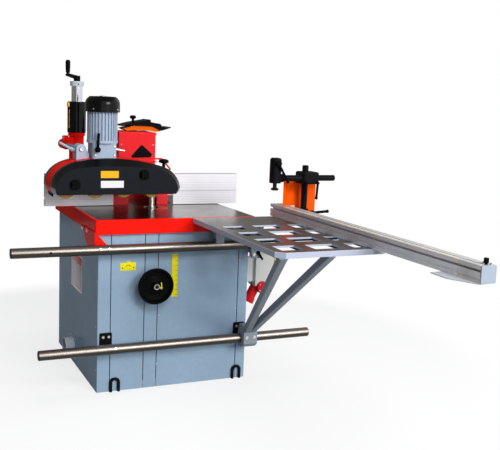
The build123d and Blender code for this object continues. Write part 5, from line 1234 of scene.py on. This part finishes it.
@dataclass
class Feeder(SubAssembly):
    """Plates, handles, screws and scale of the power feeder.

    The flap's teeth stand tooth_pitch apart, and hang down by one of the drops in turn.
    """

    front_y: float = -300.0
    skin: float = 0.8
    amber_xz: Profile = ((-353.0, 1055.0), (-262.0, 1090.0))
    white_xz: Profile = ((-352.0, 1006.0), (-235.0, 1041.0))
    motor_xy: Pair = (-305.0, -132.5)
    fan_radius: float = 88.0
    fan_screws_z: float = 1392.0
    fan_top_z: float = 1456.6
    gear_half: float = 48.0
    gear_out: float = 62.0
    base_middle: Spot = (-350.0, 250.0, 884.0)
    base_radius: float = 59.0
    flap_start: Spot = (-568.0, -188.0, 972.0)
    teeth: int = 6
    tooth_thick: float = 5.0
    tooth_wide: float = 18.6
    tooth_pitch: float = 19.5
    drops: Pair = (22.0, 15.0)

    def build(self) -> None:
        """Make the feeder's small parts."""
        stuck = (self.front_y, self.skin, 0.3, 1)
        amber = Shape().plate(self.amber_xz, *stuck)
        self.keep("cover_plate_amber", amber, AMBER_VINYL, "feeder_head", "anthracite")
        white = Shape().plate(self.white_xz, *stuck)
        self.keep("cover_plate_white", white, WHITE_VINYL, "feeder_head", "anthracite")
        self.motor_parts()
        self.flap()
        self.handles()
        self.column_parts()

    def motor_parts(self) -> None:
        """Make the fan cover's screws and boss, the terminal box and the gearbox screws."""
        x, y = self.motor_xy
        around = ring((x, y, self.fan_screws_z), self.fan_radius)
        self.fasteners("fan_cover_screws", Head.DOME, 4.0, around, "feeder_head")
        boss = ((0, 0), (16, 0), (16, 1.2), (14, 2.2), (0, 2.4))
        made = Shape().turned(boss, (x, y, self.fan_top_z), UP)
        self.keep("fan_cover_boss", made, ZINC_SCREW, "feeder_head", "bright_steel")
        box = Shape().box((x - 34, y + 60, 1268), (x + 34, y + 100, 1346), 6.0, 3)
        box.box((x - 37, y + 99, 1264), (x + 37, y + 106, 1350), 3.0)
        self.keep("terminal_box", box, MOTOR_GREY, "feeder_head", "motor_grey")
        lid = grid(BACK, (x - 30.0, x + 30.0), y + 106.0, (1271.0, 1343.0))
        self.fasteners("terminal_box_screws", Head.DOME, 3.6, lid, "feeder_head")
        left, right, face = x - self.gear_half, x + self.gear_half, y - self.gear_out
        gears = grid(FRONT, (left, right), face, 1162.0) + grid(FRONT, right, face, 1206.0)
        self.fasteners("gearbox_screws", Head.SOCKET, 5.5, gears, "feeder_head")

    def flap(self) -> None:
        """Make the rubber flap with its cut teeth under the left end of the head."""
        made = Shape()
        x, start, z = self.flap_start
        for tooth in range(self.teeth):
            y = start + tooth * self.tooth_pitch
            low = (x, y, z - self.drops[tooth % 2])
            made.box(low, (x + self.tooth_thick, y + self.tooth_wide, z + 4.0), 1.2)
        made.box((x - 2.0, start - 2.0, z - 6.0), (x + 7.0, start + 116.0, z + 4.5), 1.5)
        self.keep("head_flap", made, FOOT_RUBBER, "feeder_head", "black_plastic")

    def handles(self) -> None:
        """Make the lock handles at the gearbox and the knuckle, and the knuckle's bolt."""
        right = Shape().bar((-243.5, -130, 1188), (-214, -130, 1184), 10.5)
        right.bar((-216, -130, 1184), (-183, -130, 1179), 7.2, 0.8)
        self.keep("head_lock_handle", right, ZINC_SCREW, "feeder_head", "bright_steel")
        left = Shape().bar((-438, -107, 1176), (-462, -107, 1186), 10.0)
        left.bar((-459, -107, 1185), (-520, -112, 1217), 6.8, 0.85)
        self.keep("knuckle_handle", left, MOTOR_GREY, "feeder_head", "motor_grey")
        bolt = grid(FRONT, -415.0, -147.0, 1187.0)
        self.fasteners("knuckle_bolt", Head.SOCKET, 11.0, bolt, "feeder_head")

    def column_parts(self) -> None:
        """Make the sleeve's scale and tag, the column's screws and the clamp bolt."""
        stripe = Shape().box((-396.4, 226.5, 1275), (-393.8, 241.0, 1375), 0.3, 1)
        self.keep("sleeve_scale", stripe, SLEEVE_SCALE, "feeder_sleeve", "gloss_black")
        tag = Shape().box((-405.0, 226.8, 1391), (-393.8, 249.2, 1414), 1.5)
        self.keep("sleeve_tag", tag, AMBER_VINYL, "feeder_sleeve", "gloss_black")
        stud, dark = grid(FRONT, -350.0, 213.0, 1515.0), (BLACK_STEEL, "black_steel")
        self.fasteners("column_cap_screw", Head.SOCKET, 3.6, stud, "machine", *dark)
        base = ring(self.base_middle, self.base_radius, UP)
        self.fasteners("column_base_bolts", Head.SOCKET, 7.8, base, "machine")
        clamp = grid(LEFT, -425.0, 230.0, 1224.0)
        self.fasteners("slide_clamp_bolt", Head.HEX, 9.5, clamp, "feeder_swivel")


@dataclass
class SwitchGear(SubAssembly):
    """Screws, collar and blank of the switch box, and the screws of its inlet."""

    lid_x: float = 560.0
    lid_screws_y: Row = (-428.0, -362.0)
    lid_screws_z: Row = (499.0, 665.0)
    stop_yz: Pair = (-420.0, 622.0)
    blank_yz: Pair = (-380.0, 622.0)
    inlet_screws_x: Row = (475.2, 508.8)
    inlet_face_y: float = -456.0
    inlet_screws_z: Row = (467.2, 500.8)

    def build(self) -> None:
        """Make the switch box's small parts."""
        lid = grid(RIGHT, self.lid_x, self.lid_screws_y, self.lid_screws_z)
        self.fasteners("switch_lid_screws", Head.DOME, 4.0, lid, "machine")
        collar = ((20.4, 0), (25.5, 0), (25.5, 4.5), (24, 6.2), (20.4, 6.2), (20.4, 0))
        made = Shape().turned(collar, (self.lid_x, *self.stop_yz), RIGHT, 36)
        self.keep("stop_collar", made, YELLOW_VINYL, "machine", "pale_plastic")
        plug = ((0, 0), (12.5, 0), (12.5, 3), (11.2, 4.2), (0, 4.2))
        made = Shape().turned(plug, (self.lid_x, *self.blank_yz), RIGHT, 28)
        self.keep("switch_blank", made, BLACK_PLASTIC, "machine", "black_plastic")
        inlet = grid(FRONT, self.inlet_screws_x, self.inlet_face_y, self.inlet_screws_z)
        self.fasteners("inlet_screws", Head.DOME, 3.0, inlet, "machine")


@dataclass
class Studio:
    """Camera, soft lamps, pale floor and grey drapes.

    The camera's yaw to the right of +Y, pitch below the horizon and roll are in degrees, its
    focal length in pixels of the photograph. Past fade_from metres from the origin the floor
    gains fade_gain of white a metre, and fade_least is its least share.
    """

    spot: Spot = (-1.393, -4.317, 1.471)
    yaw: float = 24.909
    pitch: float = 8.65
    roll: float = 2.314
    focal: float = 826.4
    ambient: float = 0.26
    floor_half: float = 40.0
    fade_from: float = 0.8
    fade_gain: float = 0.8
    fade_least: float = 0.75
    drape_half: float = 5.0
    drape_light: float = 0.24

    def build(self) -> None:
        """Set up the whole stage."""
        self.camera()
        self.world()
        self.floor()
        self.drapes()
        for lamp in (
            ("key_lamp", (2.8, -7.3, 3.5), (0.1, -0.6, 0.7), 3.0, 410.0, True),
            ("fill_lamp", (0.3, -8.0, 1.6), (0.1, -0.6, 0.6), 2.4, 80.0, False),
            ("high_lamp", (-0.4, -6.2, 4.8), (0.1, -0.6, 0.5), 1.6, 150.0, False),
            ("top_lamp", (0.4, -0.6, 5.6), (0.1, -0.4, 0.8), 3.0, 90.0, False),
        ):
            self.lamp(*lamp)
        bpy.context.scene.view_settings.view_transform = "Standard"

    def camera(self) -> None:
        """Make the camera at the photograph's viewing angle."""
        data = bpy.data.cameras.new("photo_camera")
        data.sensor_width = SENSOR_WIDTH
        data.lens = self.focal / IMAGE_WIDTH * SENSOR_WIDTH
        seen = bpy.data.objects.new("photo_camera", data)
        stand = Matrix.Translation(self.spot)
        for angle, axis in ((-self.yaw, "Z"), (90.0 - self.pitch, "X"), (self.roll, "Z")):
            stand = stand @ Matrix.Rotation(math.radians(angle), 4, axis)
        seen.matrix_world = stand
        bpy.context.scene.collection.objects.link(seen)
        bpy.context.scene.camera = seen

    @staticmethod
    def seen_ray(g: Graph) -> Socket:
        """Return 1 for the rays that show the background: camera, glossy and transmission."""
        path = g.add("LightPath").outputs
        return g.most(*(path[f"Is {kind} Ray"] for kind in ("Camera", "Glossy", "Transmission")))

    def world(self) -> None:
        """Make a world that is white to look at and lights at a plain level."""
        world = bpy.data.worlds.new("studio")
        world.use_nodes = True
        bpy.context.scene.world = world
        g = Graph(world.node_tree)
        lit = g.light("Background", (0.95, 0.97, 1.0), self.ambient)
        g.show(g.blend(self.seen_ray(g), lit, g.light("Background", WHITE)), "OutputWorld")

    @staticmethod
    def sheet(name: str, half: float, stand: Matrix, paint: bpy.types.Material) -> bpy.types.Object:
        """Make one flat square of the stage.

        Args:
            name: Name of the sheet.
            half: Half of its width in metres.
            stand: Where it stands.
            paint: Its material.

        Returns:
            The sheet.
        """
        bm = bmesh.new()
        bmesh.ops.create_grid(bm, x_segments=1, y_segments=1, size=half, matrix=stand)
        mesh = bpy.data.meshes.new(name)
        bm.to_mesh(mesh)
        bm.free()
        mesh.materials.append(paint)
        made = bpy.data.objects.new(name, mesh)
        bpy.context.scene.collection.objects.link(made)
        return made

    def floor(self) -> None:
        """Make a pale floor that keeps the shadow and fades into the white."""
        paint, g = blank_paint("floor_white")
        seen = self.seen_ray(g)
        tone = g.tint(seen, (0.25, 0.25, 0.25), (0.90, 0.90, 0.90))
        matt, = g.wire(g.add("BsdfDiffuse"), Color=tone)
        away = g.ramp(g.vector("LENGTH", g.place()), self.fade_from, self.fade_gain)
        share = g.times(g.most(away, self.fade_least), seen)
        g.show(g.blend(share, matt, g.light("Emission", WHITE)))
        self.sheet("floor", self.floor_half, Matrix.Identity(4), paint)

    def drapes(self) -> None:
        """Hang grey drapes behind, to the left and above, which only reflections see."""
        grey, g = blank_paint("drape_grey")
        g.show(g.light("Emission", (1.0, 0.96, 0.92), self.drape_light))
        for name, at, look in (
            ("back_drape", (0.0, 5.0, 2.4), FRONT),
            ("left_drape", (-2.4, 0.0, 2.4), RIGHT),
            ("top_drape", (0.0, 0.0, 6.0), DOWN),
        ):
            hung = self.sheet(name, self.drape_half, seat(at, look), grey)
            for ray in ("camera", "diffuse", "shadow", "transmission"):
                setattr(hung, "visible_" + ray, False)

    @staticmethod
    def lamp(name: str, at: Spot, aim: Spot, size: float, power: float, mirrored: bool) -> None:
        """Hang one soft lamp.

        Args:
            name: Name of the lamp.
            at: Its place in metres.
            aim: The point it looks at.
            size: Width of its square face.
            power: Power in watts.
            mirrored: Whether glossy surfaces mirror it.
        """
        data = bpy.data.lights.new(name, "AREA")
        data.size = size
        data.energy = power
        lamp = bpy.data.objects.new(name, data)
        lamp.location = at
        lamp.visible_glossy = mirrored
        lamp.rotation_euler = (Vector(aim) - Vector(at)).to_track_quat("-Z", "Y").to_euler()
        bpy.context.scene.collection.objects.link(lamp)


def main() -> None:
    """Dress the machine, add its small parts and set up the studio."""
    logging.basicConfig(level=logging.INFO, format="%(name)s %(message)s")
    shop = Paintshop()
    shop.dress_nodes()
    for part in (
        Cabinet, Rails, Handwheel, SlidingTable, MitreFence, Hood, Clamp, Feeder, SwitchGear,
    ):
        part(shop).build()
        LOG.info("finished %s", part.__name__)
    Studio().build()


if __name__ == "__main__":
    main()
